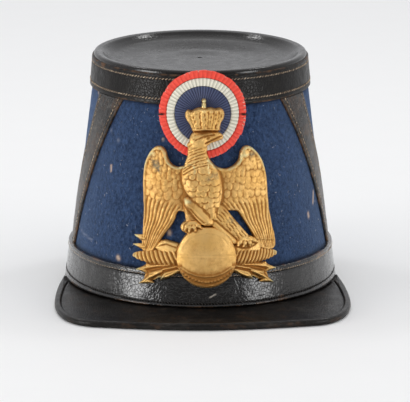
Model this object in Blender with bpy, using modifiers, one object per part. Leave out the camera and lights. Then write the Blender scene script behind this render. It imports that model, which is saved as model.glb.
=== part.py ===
"""A shako: a tapered oval cap of blue cloth with black leather bands, a dished leather crown,
a leather peak, V-shaped leather side strips, a pleated cockade and a gilt eagle plate.

Metres, +Z up. The wearer looks along -Y, and +X is to the right in a view from the front.
The origin is on the table under the middle of the whole hat, peak and all.
"""
from math import atan2, ceil, cos, pi, radians, sin

import bmesh
import bpy
from mathutils import Matrix, Vector
from mathutils.geometry import interpolate_bezier

MM = 0.001

# Cap body
height = 143.8 * MM            # table to the crown's ridge, at the sides
crown_tip = 2.2 * MM           # the rim is this much lower in front and higher behind
base_width = 165.2 * MM        # outside of the cloth at table height
base_depth = 193.0 * MM
top_width = 128.2 * MM         # outside of the cloth at ridge height
top_depth = 143.5 * MM
cloth_thickness = 2.5 * MM
gap = 0.3 * MM                 # clearance between neighbouring pieces
turn_steps = 72                # columns round the cap

# Leather bands
bottom_band_height = 25.0 * MM
bottom_band_thickness = 2.5 * MM
band_hem_height = 3.5 * MM     # folded edge along the top of the bottom band
band_hem_rise = 0.5 * MM
top_band_height = 17.9 * MM
top_band_drop = 2.4 * MM       # the band's top edge is this far below the crown's ridge
top_band_thickness = 1.4 * MM
top_band_lean = 0.6 * MM       # the top band leans out by this along its top

# Crown
crown_thickness = 1.8 * MM
lip_set_back = 0.9 * MM        # outside of the lip from the outside of the top band
dish_depth = 7.5 * MM
dish_slope = 5.0 * MM          # run of the dish wall from the lip to the floor
vent_diameter = 3.0 * MM
vent_set_back = 0.2            # share of the half depth that the vent lies behind the middle

# Side strips
strip_thickness = 1.2 * MM
strip_outer_turns = (77.9, 64.5, 43.9)    # degrees from the front, at the foot, halfway and top
strip_inner_turns = (96.6, 80.8, 65.1)
side_turn = 90.0               # degrees from the front to the middle of the cap's side
strip_rows = 10
strip_columns = 4

# Peak
peak_side_reach = 6.4 * MM     # beyond the cloth's foot, at the widest
peak_front_reach = 37.4 * MM   # the same at the front
peak_thickness = 2.6 * MM
peak_root_height = 3.9 * MM    # top of the peak where it leaves the band, in front
peak_end_height = 1.4 * MM     # the same at its two ends
peak_end_turn = 84.6           # degrees from the front
peak_border_width = 4.6 * MM
peak_border_rise = 0.9 * MM    # over the peak's field beside it
peak_border_lift = 0.6 * MM    # over the peak's root
peak_least_width = 0.2 * MM    # between the band and the peak's edge, at its two ends
peak_columns = 44
cap_middle_y = (peak_front_reach - gap - bottom_band_thickness) / 2

# Cockade
cockade_radius = 25.5 * MM
red_width = 4.2 * MM
white_width = 4.4 * MM
cockade_over_rim = 0.1 * MM    # its top stands this much above the rim
cockade_thickness = 1.5 * MM
pleat_count = 60
pleat_depth = 0.35 * MM

# Eagle plate
plate_height = 111.3 * MM      # foot of the globe to the top of the finial
plate_half_width = 43.0 * MM
plate_overlap = 8.7 * MM       # the globe hangs this much over the bottom band
plate_shift = 1.9 * MM         # the plate sits this much right of the middle
plate_thickness = 1.5 * MM
plate_relief = 6.0 * MM        # front of the globe over the back of the plate
bow_clearance = 1.2 * MM       # back of the plate over the cloth behind the wings
leave_band_run = 12.0 * MM     # length over which its back comes down from the bottom band
leave_band_start = 2.0 * MM    # above the band's top edge
reach_cockade_run = 10.0 * MM  # length over which its back rises to the cockade
reach_cockade_start = 12.0 * MM    # below the cockade's lower edge
sink = 0.4 * MM                # its pieces reach this far behind its back before they are cut
plate_strips = 12              # upright strips that it is bent in
plate_cross_cuts = (0.12, 0.22, 0.5, 0.7, 0.8)    # shares of its height

# Shares of the plate's half width and height, counted from the foot of the globe.
LEFT_WING = (                  # across, up
    (0.0, 0.62), (-0.36, 0.635), (-0.50, 0.685), (-0.56, 0.725), (-0.645, 0.738),
    (-0.74, 0.70), (-0.80, 0.64), (-0.835, 0.55), (-0.835, 0.30), (-0.84, 0.19),
    (-0.60, 0.19), (-0.57, 0.25), (-0.36, 0.33), (-0.30, 0.41), (0.0, 0.42))
RIGHT_WING = (                 # across, up
    (0.0, 0.62), (0.33, 0.642), (0.48, 0.71), (0.58, 0.742), (0.68, 0.71),
    (0.76, 0.64), (0.84, 0.50), (0.87, 0.36), (0.945, 0.27), (0.95, 0.19),
    (0.66, 0.19), (0.64, 0.25), (0.42, 0.385), (0.32, 0.41), (0.0, 0.42))
HEAD_CROWN = (                 # across, up
    (-0.155, 0.832), (0.175, 0.832), (0.20, 0.87), (0.25, 0.905), (0.235, 0.93),
    (0.12, 0.943), (0.03, 0.95), (-0.07, 0.95), (-0.15, 0.943), (-0.26, 0.93),
    (-0.27, 0.905), (-0.215, 0.87))
ARROW = (                      # along, across: a zigzag bolt that ends in a barbed head
    (0.0, 0.18), (0.34, 0.30), (0.30, 0.05), (0.66, 0.22), (0.60, 0.50), (1.0, 0.0),
    (0.56, -0.50), (0.62, -0.22), (0.24, -0.26), (0.28, 0.0), (0.0, -0.18))
BLADES = (                     # from across, up, to across, up, half width, rise over the back
    (-0.07, 0.60, -0.10, 0.80, 0.165, 0.60),      # neck
    (0.01, 0.805, 0.215, 0.785, 0.070, 0.55),     # beak
    (-0.25, 0.475, 0.05, 0.345, 0.110, 0.75),     # left thigh
    (-0.24, 0.42, -0.22, 0.24, 0.065, 0.60),      # left leg
    (0.0, 0.42, 0.05, 0.28, 0.200, 0.60),         # tail feathers behind the globe
    (0.14, 0.43, 0.52, 0.20, 0.090, 0.70),        # right leg
    (-0.02, 0.93, -0.02, 0.975, 0.036, 0.50),     # stem of the finial
    (-0.16, 0.845, 0.18, 0.845, 0.045, 0.75))     # ring of the crown on its head
DOMES = (                      # across, up, half width, half height, rise over the back
    (-0.03, 0.53, 0.26, 0.150, 0.85),             # chest
    (-0.06, 0.795, 0.15, 0.048, 0.80),            # head
    (-0.01, 0.895, 0.16, 0.050, 0.70),            # cap of the crown
    (-0.02, 0.982, 0.040, 0.018, 0.50),           # ball of the finial
    (-0.24, 0.31, 0.09, 0.025, 0.75),             # left claws on the globe
    (0.50, 0.235, 0.13, 0.025, 0.75),             # right claws on the bolt
    (0.01, 0.157, 0.385, 0.157, 1.00))            # globe
ARROWS = (                     # root across, up, tip across, up
    (-0.30, 0.105, -0.95, 0.060), (-0.26, 0.070, -0.90, -0.012), (-0.26, 0.050, -0.60, 0.020),
    (0.32, 0.105, 0.98, 0.060), (0.30, 0.070, 0.95, -0.008), (0.30, 0.050, 0.62, 0.028))
PRIMARIES = (                  # root across, tip across, tip up, for the long feathers
    (-0.72, -0.79, 0.205), (-0.60, -0.70, 0.205), (-0.48, -0.61, 0.215), (-0.37, -0.50, 0.270),
    (0.73, 0.88, 0.205), (0.61, 0.76, 0.205), (0.50, 0.68, 0.230), (0.40, 0.56, 0.290))
covert_line = 0.47             # share of the height where the long feathers begin
spindle_tip = 1.0              # share of the half width
spindle_root = 0.36
spindle_up = 0.165             # share of the height
spindle_half_height = 0.045
spindle_ribs = 6

# Peak outline: Bezier points and handles, as shares of its half width and its reach.
PEAK_EDGE = (                  # across, forward
    (0.963, 0.070), (0.985, 0.180), (1.004, 0.340), (0.999, 0.520),
    (0.996, 0.740), (0.915, 0.905), (0.720, 0.935), (0.505, 0.967), (0.240, 1.0), (0.0, 1.0))


def mix(low, high, share):
    return low + (high - low) * share


def ease(share):
    """Smooth step from 0 to 1."""
    share = min(max(share, 0.0), 1.0)
    return share * share * (3.0 - 2.0 * share)


def bow(values, share):
    """Curve through three values at shares 0, 0.5 and 1."""
    low, middle, high = values
    return mix(low, high, share) + (2.0 * middle - low - high) * 2.0 * share * (1.0 - share)


def half_sizes(z):
    """Half width and half depth of the cloth's outside at a height."""
    share = z / height
    return mix(base_width, top_width, share) / 2, mix(base_depth, top_depth, share) / 2


def on_cap(turn, z, stand_off):
    """Point at a turn from the front in radians, a height, and a distance outside the cloth."""
    a, b = half_sizes(z)
    outward = Vector((sin(turn) / a, -cos(turn) / b, 0.0)).normalized()
    return Vector((a * sin(turn), -b * cos(turn), z)) + outward * stand_off


def on_front(across, up, stand_off):
    """Point a distance across from the front's middle line and a distance up along the wall."""
    z = up * wall_cosine()
    return on_cap(across / half_sizes(z)[0], z, stand_off)


def wall_cosine():
    """Rise for each unit of length up the sloping front wall."""
    return cos(atan2((base_depth - top_depth) / 2, height))


def rim_z(turn):
    return height - crown_tip * cos(turn)


def top_band_low_z(turn):
    return rim_z(turn) - top_band_drop - top_band_height


def make_material(name, color, roughness, metallic=0.0):
    material = bpy.data.materials.new(name)
    material.use_nodes = True
    shader = material.node_tree.nodes["Principled BSDF"]
    shader.inputs["Base Color"].default_value = (*color, 1.0)
    shader.inputs["Roughness"].default_value = roughness
    shader.inputs["Metallic"].default_value = metallic
    return material


def clear_scene():
    for item in list(bpy.data.objects):
        bpy.data.objects.remove(item, do_unlink=True)


def make_collection(name):
    collection = bpy.data.collections.new(name)
    bpy.context.scene.collection.children.link(collection)
    return collection


def add_object(name, mesh, collection, material, crease=35.0):
    item = bpy.data.objects.new(name, mesh)
    collection.objects.link(item)
    item.location.y = cap_middle_y
    mesh.materials.append(material)
    mesh.shade_smooth()
    mesh.set_sharp_from_angle(angle=radians(crease))
    return item


def finish_mesh(name, work):
    bmesh.ops.recalc_face_normals(work, faces=work.faces)
    mesh = bpy.data.meshes.new(name)
    work.to_mesh(mesh)
    work.free()
    return mesh


def sheet_mesh(name, columns, rows, place, closed_round=False, closed_section=False):
    """Grid whose points go where place(column share, row share number) puts them.

    closed_round joins the last column to the first, and closed_section the last row.
    """
    work = bmesh.new()
    bmesh.ops.create_grid(work, x_segments=columns, y_segments=rows, size=0.5)
    for vertex in work.verts:
        column = round((vertex.co.x + 0.5) * columns)
        row = round((vertex.co.y + 0.5) * rows)
        vertex.co = place(column % columns if closed_round else column,
                          row % rows if closed_section else row)
    bmesh.ops.remove_doubles(work, verts=work.verts, dist=0.01 * MM)
    if closed_section and not closed_round:
        bmesh.ops.holes_fill(work, edges=[e for e in work.edges if e.is_boundary])
    return finish_mesh(name, work)


def outward_mesh(mesh):
    """Turns an open sheet's faces away from the cap's axis."""
    lean = sum(face.normal.dot(Vector((face.center.x, face.center.y, 0))) for face in mesh.polygons)
    if lean < 0:
        mesh.flip_normals()
    return mesh


def thicken(item, thickness):
    """Solidify along the normals."""
    wall = item.modifiers.new("thickness", "SOLIDIFY")
    wall.thickness = thickness
    wall.offset = 1.0
    wall.use_even_offset = True
    return item


def turn_at(column):
    return 2 * pi * column / turn_steps


def cloth_body(collection, material):
    """Tapered oval tube, open above and below."""
    def place(column, row):
        turn = turn_at(column)
        low = band_low_z(turn) + bottom_band_thickness + gap
        high = rim_z(turn) - top_band_drop - gap
        stand_off, z = ((0.0, low), (0.0, high), (-cloth_thickness, high),
                        (-cloth_thickness, low))[row]
        return on_cap(turn, z, stand_off)

    mesh = sheet_mesh("cloth_body", turn_steps, 4, place, closed_round=True,
                      closed_section=True)
    return add_object("cloth_body", mesh, collection, material)


def top_band(collection, material):
    """Leather strap round the top of the cloth, leaning out a little at the rim."""
    def place(column, row):
        turn = turn_at(column)
        z = rim_z(turn) - top_band_drop - top_band_height * (1 - row)
        return on_cap(turn, z, gap + top_band_lean * row)

    mesh = sheet_mesh("top_band", turn_steps, 1, place, closed_round=True)
    return thicken(add_object("top_band", outward_mesh(mesh), collection, material),
                   top_band_thickness)


def peak_top_z(turn):
    """Height of the peak's top where it leaves the band."""
    return max(peak_end_height, peak_root_height * max(cos(turn), 0.0) ** 0.6)


def band_low_z(turn):
    """Lower edge of the bottom band: on the table, or just over the peak's root."""
    front_turn = abs((turn + pi) % (2 * pi) - pi)
    if front_turn > radians(peak_end_turn + 1.0):
        return 0.0
    return peak_top_z(front_turn) + gap


def bottom_band(collection, material):
    """Leather strap whose foot turns in under the cloth, with a folded hem along its top."""
    outer = gap + bottom_band_thickness
    hem_foot = bottom_band_height - band_hem_height

    def place(column, row):
        turn = turn_at(column)
        low = band_low_z(turn)
        foot_top = low + bottom_band_thickness
        section = (
            (-cloth_thickness, low), (outer - 0.4 * bottom_band_thickness, low),
            (outer, low + 0.4 * bottom_band_thickness), (outer, hem_foot),
            (outer + band_hem_rise, hem_foot + band_hem_rise),
            (outer + band_hem_rise, bottom_band_height - band_hem_rise),
            (outer, bottom_band_height), (gap, bottom_band_height),
            (gap, foot_top), (-cloth_thickness, foot_top))
        stand_off, z = section[row]
        return on_cap(turn, z, stand_off)

    mesh = sheet_mesh("bottom_band", turn_steps, 10, place, closed_round=True,
                      closed_section=True)
    return add_object("bottom_band", mesh, collection, material)


def crown(collection, cutters, material):
    """Dished leather disc with a rounded lip that covers the top edges of cloth and strap."""
    outer = gap + top_band_lean + top_band_thickness - lip_set_back
    lip_low = top_band_drop - gap
    lip_inner = -cloth_thickness - gap
    lip_width = outer - lip_inner
    wall_inner = lip_inner - crown_thickness
    floor_edge = wall_inner - dish_slope
    sections = (               # stand-off, depth below the ridge, from the floor over the lip
        (floor_edge, dish_depth),
        (wall_inner + 0.5 * crown_thickness, 0.5 * crown_thickness),
        (outer - 0.8 * lip_width, 0.15 * lip_low), (outer - 0.45 * lip_width, 0.0),
        (outer - 0.2 * lip_width, 0.1 * lip_low), (outer, 0.5 * lip_low), (outer, lip_low),
        (lip_inner, lip_low), (lip_inner, lip_low + crown_thickness),
        (floor_edge + 0.5 * crown_thickness, dish_depth + crown_thickness))

    def place(column, row):
        if row == 0:
            return Vector((0.0, 0.0, height - dish_depth))
        if row == len(sections) + 1:
            return Vector((0.0, 0.0, height - dish_depth - crown_thickness))
        stand_off, depth = sections[row - 1]
        turn = turn_at(column)
        return on_cap(turn, rim_z(turn) - depth, stand_off)

    mesh = sheet_mesh("crown", turn_steps, len(sections) + 1, place, closed_round=True)
    item = add_object("crown", mesh, collection, material)
    bpy.ops.mesh.primitive_cylinder_add(
        vertices=12, radius=vent_diameter / 2, depth=4 * dish_depth,
        location=(0.0, cap_middle_y + vent_set_back * top_depth / 2, height - dish_depth))
    cutter = bpy.context.object
    cutter.name = "vent_cutter"
    cut_with(item, cutter, cutters)
    return item


def cut_with(item, cutter, cutters, operation="DIFFERENCE"):
    for holder in list(cutter.users_collection):
        holder.objects.unlink(cutter)
    cutters.objects.link(cutter)
    cutter.hide_render = True
    cutter.display_type = "WIRE"
    cut = item.modifiers.new(operation.lower(), "BOOLEAN")
    cut.object = cutter
    cut.operation = operation
    cut.solver = "EXACT"
    return cut


def side_strip(name, side, collection, material):
    """V of two leather arms over the cloth, its point down at the bottom band."""
    low = bottom_band_height + gap

    def place(half):
        def put(column, row):
            share = row / strip_rows
            outer = bow(strip_outer_turns, share)
            inner = min(bow(strip_inner_turns, share), side_turn)
            degrees = mix(outer, inner, column / strip_columns)
            turn = radians(side_turn + (degrees - side_turn) * half) * side
            high = top_band_low_z(turn) - gap
            return on_cap(turn, mix(low, high, share), gap)
        return put

    work = bmesh.new()
    for half in (1, -1):
        mesh = sheet_mesh(name, strip_columns, strip_rows, place(half))
        work.from_mesh(outward_mesh(mesh))
        bpy.data.meshes.remove(mesh)
    bmesh.ops.remove_doubles(work, verts=work.verts, dist=0.01 * MM)
    mesh = bpy.data.meshes.new(name)
    work.to_mesh(mesh)
    work.free()
    return thicken(add_object(name, mesh, collection, material), strip_thickness)


def peak_outline():
    """Points along the right half of the peak's edge, from its end to the front."""
    half_width = base_width / 2 + peak_side_reach
    reach = base_depth / 2 + peak_front_reach
    knots = [Vector((across * half_width, -forward * reach, 0.0)) for across, forward in PEAK_EDGE]
    steps = ceil(peak_columns / 6)
    points = []
    for first in range(0, len(knots) - 1, 3):
        stretch = interpolate_bezier(*knots[first:first + 4], steps + 1)
        points += stretch[:-1]
    return points + [knots[-1]]


def peak(collection, material):
    """Leather plate that fans out from under the band, with a thick border on the table."""
    right = peak_outline()
    left = [Vector((-p.x, p.y, 0.0)) for p in right[:-1]]
    edge = left + right[::-1]
    foot_width = gap + bottom_band_thickness
    end = radians(peak_end_turn)
    columns = len(edge) - 1

    def place(column, row):
        outer = edge[column]
        a, b = half_sizes(0.0)
        turn = max(-end, min(end, atan2(outer.x / a, -outer.y / b)))
        root_top = peak_top_z(turn)
        root_low = max(0.0, root_top - peak_thickness)
        rim_top = root_top + peak_border_lift
        hidden = on_cap(turn, 0.0, -cloth_thickness)
        root = on_cap(turn, 0.0, foot_width)
        width = max((outer - root).length, peak_least_width)
        border = min(peak_border_width, 0.4 * width) / width
        field_top = rim_top - peak_border_rise * ease(width / (4 * peak_border_width))
        field_low = max(0.0, field_top - peak_thickness)
        if outer.length < root.length:
            outer = root + (root - hidden).normalized() * peak_least_width
        section = (            # share from root to edge, height
            (0.0, root_top), (1.0 - 1.25 * border, field_top), (1.0 - border, rim_top),
            (1.0 - 0.25 * border, rim_top), (1.0, 0.7 * rim_top), (1.0, 0.25 * rim_top),
            (1.0 - 0.3 * border, 0.0), (1.0 - border, 0.0), (1.0 - 1.25 * border, field_low),
            (0.0, root_low))
        if row == 0:
            return Vector((hidden.x, hidden.y, root_top))
        if row == 11:
            return Vector((hidden.x, hidden.y, root_low))
        share, z = section[row - 1]
        spot = mix(root, outer, share)
        return Vector((spot.x, spot.y, z))

    mesh = sheet_mesh("peak", columns, 12, place, closed_section=True)
    return add_object("peak", mesh, collection, material)


def cockade_middle():
    """Distance from the table to the cockade's middle, along the front wall."""
    return rim_z(0.0) / wall_cosine() + cockade_over_rim - cockade_radius


def cockade_back(up):
    """Stand-off of the cockade's back: near the cloth below, clear of the top band above."""
    low = cockade_middle() - cockade_radius
    band_edge = top_band_low_z(0.0) / wall_cosine()
    over_band = top_band_thickness + 2.4 * gap
    return mix(2 * gap, over_band, (up - low) / (band_edge - low))


def pleated(name, inner, outer, collection, material):
    """Ring of radial pleats, or a disc where the inner radius is none."""
    columns = 2 * pleat_count
    rows = 4

    def place(column, row):
        angle = 2 * pi * column / columns
        radius = (inner, outer, outer, inner)[row % rows]
        front = row % rows in (0, 1)
        across = radius * sin(angle)
        up = cockade_middle() + radius * cos(angle)
        lift = cockade_thickness - pleat_depth * (column % 2) * radius / cockade_radius
        return on_front(across, up, cockade_back(up) + (lift if front else 0.0))

    mesh = sheet_mesh(name, columns, rows, place, closed_round=True, closed_section=True)
    return add_object(name, mesh, collection, material, crease=20.0)


def piece_object(name, work, pieces):
    mesh = finish_mesh(name, work)
    item = bpy.data.objects.new(name, mesh)
    pieces.objects.link(item)
    return item


def plate_point(across, up):
    return Vector((across * plate_half_width, up * plate_height, 0.0))


def outline_piece(name, points, thickness, pieces):
    """Flat plate with a given outline, its back just behind the plate's back."""
    curve = bpy.data.curves.new(name, "CURVE")
    curve.dimensions = "2D"
    curve.fill_mode = "BOTH"
    curve.extrude = thickness / 2
    spline = curve.splines.new("POLY")
    spline.points.add(len(points) - 1)
    for spot, point in zip(spline.points, points):
        spot.co = (point.x, point.y, 0.0, 1.0)
    spline.use_cyclic_u = True
    holder = bpy.data.objects.new(name, curve)
    pieces.objects.link(holder)
    bpy.context.view_layer.update()
    mesh = bpy.data.meshes.new_from_object(holder.evaluated_get(
        bpy.context.evaluated_depsgraph_get()))
    bpy.data.objects.remove(holder, do_unlink=True)
    work = bmesh.new()
    work.from_mesh(mesh)
    bpy.data.meshes.remove(mesh)
    bmesh.ops.remove_doubles(work, verts=work.verts, dist=0.001 * MM)
    bmesh.ops.translate(work, verts=work.verts, vec=(0.0, 0.0, thickness / 2 - sink))
    return piece_object(name, work, pieces)


def blade_piece(name, start, end, half_width, rise, pieces, taper=0.6):
    """Round bar lying along the plate, flattened to its rise."""
    along = end - start
    work = bmesh.new()
    bmesh.ops.create_cone(
        work, cap_ends=True, segments=8, radius1=half_width, radius2=half_width * taper,
        depth=along.length,
        matrix=Matrix.Rotation(pi / 2, 4, "Y") @ Matrix.Rotation(pi / 8, 4, "Z"))
    flatten = Matrix.Diagonal((1.0, 1.0, rise / half_width, 1.0))
    lay = Matrix.Translation((start + end) / 2) @ Matrix.Rotation(
        atan2(along.y, along.x), 4, "Z")
    bmesh.ops.transform(work, matrix=lay @ flatten, verts=work.verts)
    return piece_object(name, work, pieces)


def dome_piece(name, middle, half_width, half_height, rise, pieces, segments=12):
    work = bmesh.new()
    bmesh.ops.create_uvsphere(work, u_segments=segments, v_segments=8, radius=1.0)
    matrix = Matrix.Translation(middle) @ Matrix.Diagonal((half_width, half_height, rise, 1.0))
    bmesh.ops.transform(work, matrix=matrix, verts=work.verts)
    return piece_object(name, work, pieces)


def arrow_piece(name, start, end, pieces):
    along = end - start
    sideways = Vector((-along.y, along.x, 0.0)).normalized() * 0.075 * plate_height
    points = [start + along * s + sideways * w for s, w in ARROW]
    return outline_piece(name, points, plate_thickness * 1.5, pieces)


def spindle_pieces(side, pieces):
    """Ribbed bolt of stacked cones that narrows from the globe to its tip."""
    for rib in range(spindle_ribs):
        near = mix(spindle_root, spindle_tip, rib / spindle_ribs)
        far = mix(spindle_root, spindle_tip, (rib + 1.15) / spindle_ribs)
        full = spindle_half_height * plate_height * (1.0 - 0.75 * (rib / spindle_ribs) ** 1.6)
        blade_piece(f"rib_{rib}_{side}", plate_point(side * near, spindle_up),
                    plate_point(side * min(far, 1.0), spindle_up), full, full * 0.85, pieces, 0.7)


def covert_outline(outline):
    """Upper part of a wing, drawn in from its edge, where the short feathers lie thicker."""
    inset = 0.90
    upper = [spot for spot in outline if spot[1] > covert_line]
    middle = sum(spot[0] for spot in upper) / len(upper)
    points = [(mix(middle, x, inset), mix(covert_line, y, inset)) for x, y in upper]
    ends = [(points[-1][0], covert_line), (points[0][0], covert_line)]
    return [plate_point(*spot) for spot in points + ends]


def plate_pieces(pieces):
    """Wings, bird, globe, bolts and arrows, as solids that overlap."""
    for name, outline in (("left_wing", LEFT_WING), ("right_wing", RIGHT_WING)):
        outline_piece(name, [plate_point(*spot) for spot in outline],
                      plate_thickness + sink, pieces)
        outline_piece(name + "_coverts", covert_outline(outline), 1.7 * plate_thickness + sink,
                      pieces)
    outline_piece("head_crown", [plate_point(*spot) for spot in HEAD_CROWN],
                  1.6 * plate_thickness + sink, pieces)
    for i, (x0, y0, x1, y1, width, rise) in enumerate(BLADES):
        blade_piece(f"blade_{i}", plate_point(x0, y0), plate_point(x1, y1),
                    width * plate_half_width, rise * plate_relief, pieces)
    for i, (x, y, width, tall, rise) in enumerate(DOMES):
        dome_piece(f"dome_{i}", plate_point(x, y), width * plate_half_width,
                   tall * plate_height, rise * plate_relief, pieces)
    for i, (x0, x1, y1) in enumerate(PRIMARIES):
        blade_piece(f"feather_{i}", plate_point(x0, covert_line + 0.03), plate_point(x1, y1),
                    0.06 * plate_half_width, 1.6 * plate_thickness, pieces, 0.7)
    for i, (x0, y0, x1, y1) in enumerate(ARROWS):
        arrow_piece(f"arrow_{i}", plate_point(x0, y0), plate_point(x1, y1), pieces)
    for side in (-1, 1):
        spindle_pieces(side, pieces)


def plate_back(up):
    """Stand-off of the plate's back: over the band, bowed to the cloth, over the cockade."""
    over_band = gap + bottom_band_thickness + band_hem_rise + gap
    over_cockade = cockade_back(up) + cockade_thickness + gap
    cockade_low = cockade_middle() - cockade_radius
    leave_band = ease((up - bottom_band_height - leave_band_start) / leave_band_run)
    reach_cockade = ease((up - cockade_low + reach_cockade_start) / reach_cockade_run)
    return mix(mix(over_band, bow_clearance, leave_band), over_cockade, reach_cockade)


def eagle_plate(collection, cutters, material):
    """Union of the plate's pieces with a flat back, bent to the front of the cap."""
    pieces = make_collection("plate_pieces")
    plate_pieces(pieces)
    seed = pieces.objects["left_wing"]
    pieces.objects.unlink(seed)
    cutters.objects.link(seed)
    join = seed.modifiers.new("join", "BOOLEAN")
    join.operation = "UNION"
    join.operand_type = "COLLECTION"
    join.collection = pieces
    join.solver = "EXACT"
    reach = 3 * plate_height
    bpy.ops.mesh.primitive_cube_add(size=1.0, location=(0.0, 0.0, -reach / 2),
                                    scale=(reach, reach, reach))
    back = bpy.context.object
    cut_with(seed, back, cutters)
    bpy.context.view_layer.update()
    mesh = bpy.data.meshes.new_from_object(seed.evaluated_get(
        bpy.context.evaluated_depsgraph_get()))
    for item in list(pieces.objects) + [seed, back]:
        bpy.data.objects.remove(item, do_unlink=True)
    bpy.data.collections.remove(pieces)
    work = bmesh.new()
    work.from_mesh(mesh)
    bpy.data.meshes.remove(mesh)
    bend_plate(work)
    return add_object("eagle_plate", finish_mesh("eagle_plate", work), collection, material)


def bend_plate(work):
    """Cuts the flat plate into strips and bends them to the cap."""
    bmesh.ops.remove_doubles(work, verts=work.verts, dist=0.001 * MM)
    bmesh.ops.dissolve_limit(work, angle_limit=radians(1.0), verts=work.verts, edges=work.edges)
    cuts = [((mix(-1, 1, (i + 0.5) / plate_strips) * plate_half_width, 0, 0), (1, 0, 0))
            for i in range(plate_strips)]
    cuts += [((0, share * plate_height, 0), (0, 1, 0)) for share in plate_cross_cuts]
    for spot, normal in cuts:
        bmesh.ops.bisect_plane(work, geom=work.verts[:] + work.edges[:] + work.faces[:],
                               plane_co=spot, plane_no=normal, dist=0.01 * MM)
    bmesh.ops.triangulate(work, faces=work.faces)
    plate_foot = bottom_band_height - plate_overlap
    for vertex in work.verts:
        up = plate_foot + vertex.co.y
        vertex.co = on_front(plate_shift + vertex.co.x, up, plate_back(up) + vertex.co.z)


def build():
    clear_scene()
    shako = make_collection("shako")
    cutters = make_collection("cutters")
    leather = make_material("leather_black", (0.021, 0.019, 0.018), 0.38)
    cloth = make_material("cloth_blue", (0.016, 0.035, 0.115), 0.95)
    brass = make_material("brass_gilt", (0.72, 0.42, 0.14), 0.32, 1.0)
    red = make_material("ribbon_red", (0.80, 0.06, 0.035), 0.6)
    white = make_material("ribbon_white", (0.72, 0.68, 0.55), 0.6)
    blue = make_material("ribbon_blue", (0.03, 0.045, 0.14), 0.6)
    cloth_body(shako, cloth)
    crown(shako, cutters, leather)
    top_band(shako, leather)
    bottom_band(shako, leather)
    side_strip("chevron_left", -1, shako, leather)
    side_strip("chevron_right", 1, shako, leather)
    peak(shako, leather)
    white_outer = cockade_radius - red_width - gap
    blue_outer = white_outer - white_width - gap
    pleated("cockade_red", cockade_radius - red_width, cockade_radius, shako, red)
    pleated("cockade_white", white_outer - white_width, white_outer, shako, white)
    pleated("cockade_blue", 0.5 * MM, blue_outer, shako, blue)
    eagle_plate(shako, cutters, brass)


build()
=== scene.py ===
"""The looks of the shako: felt cloth, glazed leather, a pleated cockade and a cast gilt eagle.

Metres, +Z up, the front towards -Y. The plate's relief is worked out flat in millimetres,
across from its middle line and up from its foot, and then bent to the front of the cap.
"""
from itertools import product
from math import atan2, ceil, cos, pi, radians, sin

import bmesh
import bpy
import numpy as np
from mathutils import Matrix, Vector
from mathutils.geometry import interpolate_bezier


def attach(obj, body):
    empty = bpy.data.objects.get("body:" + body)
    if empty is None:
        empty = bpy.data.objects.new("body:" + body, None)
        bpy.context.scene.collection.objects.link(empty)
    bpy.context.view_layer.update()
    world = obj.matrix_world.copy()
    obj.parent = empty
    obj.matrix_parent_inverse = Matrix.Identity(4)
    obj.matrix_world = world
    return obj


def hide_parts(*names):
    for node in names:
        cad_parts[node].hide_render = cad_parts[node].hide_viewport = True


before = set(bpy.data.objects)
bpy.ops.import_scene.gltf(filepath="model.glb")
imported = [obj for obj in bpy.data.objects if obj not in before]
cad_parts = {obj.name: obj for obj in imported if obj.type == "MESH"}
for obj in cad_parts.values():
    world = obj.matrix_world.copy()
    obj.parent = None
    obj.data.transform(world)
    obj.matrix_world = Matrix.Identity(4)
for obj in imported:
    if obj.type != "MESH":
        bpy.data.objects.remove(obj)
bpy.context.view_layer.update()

MM = 0.001
rng = np.random.default_rng(1812)

# Cap body
height = 143.8 * MM
crown_tip = 2.2 * MM
base_width = 165.2 * MM
base_depth = 193.0 * MM
top_width = 128.2 * MM
top_depth = 143.5 * MM
cloth_thickness = 2.5 * MM
lint_count = 360
gap = 0.3 * MM

# Leather bands and crown
bottom_band_height = 25.0 * MM
bottom_band_thickness = 2.5 * MM
band_hem_height = 3.5 * MM
band_hem_rise = 0.5 * MM
top_band_height = 17.9 * MM
top_band_drop = 2.4 * MM
top_band_thickness = 1.4 * MM
top_band_lean = 0.6 * MM
crown_thickness = 1.8 * MM
lip_set_back = 0.9 * MM
dish_depth = 7.5 * MM
dish_slope = 5.0 * MM
vent_diameter = 3.0 * MM
vent_set_back = 0.2
lip_low = top_band_drop - gap
lip_inner = -cloth_thickness - gap
wall_inner = lip_inner - crown_thickness
floor_edge = wall_inner - dish_slope

# Side strips
strip_thickness = 1.2 * MM
strip_outer_turns = (77.9, 64.5, 43.9)
strip_inner_turns = (96.6, 80.8, 65.1)
side_turn = 90.0

# Peak
peak_side_reach = 6.4 * MM
peak_front_reach = 37.4 * MM
peak_thickness = 2.6 * MM
peak_root_height = 3.9 * MM
peak_end_height = 1.4 * MM
peak_end_turn = 84.6
peak_border_width = 4.6 * MM
peak_border_rise = 0.9 * MM
peak_border_lift = 0.6 * MM
peak_least_width = 0.2 * MM
cap_middle_y = (peak_front_reach - gap - bottom_band_thickness) / 2
PEAK_EDGE = (                  # across, forward, as shares of half width and reach
    (0.963, 0.070), (0.985, 0.180), (1.004, 0.340), (0.999, 0.520),
    (0.996, 0.740), (0.915, 0.905), (0.720, 0.935), (0.505, 0.967), (0.240, 1.0), (0.0, 1.0))

# Cockade
cockade_radius = 25.5 * MM
red_width = 4.2 * MM
white_width = 4.4 * MM
cockade_over_rim = 0.1 * MM
cockade_thickness = 1.5 * MM
rosette_radius = 25.1 * MM
rosette_rise = 0.05 * MM
rosette_stretch = 1.042
pleat_count = 60
pleat_depth = 0.45 * MM
pleat_columns = 10
red_ragged = 0.30
NOTCH_THREADS = (91.6, 92.4, -91.0, -91.8)      # degrees from the top, to the right
EDGE_STITCHES = (75.0, 80.0, 85.5, 97.0, 102.0, 106.5)

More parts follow.
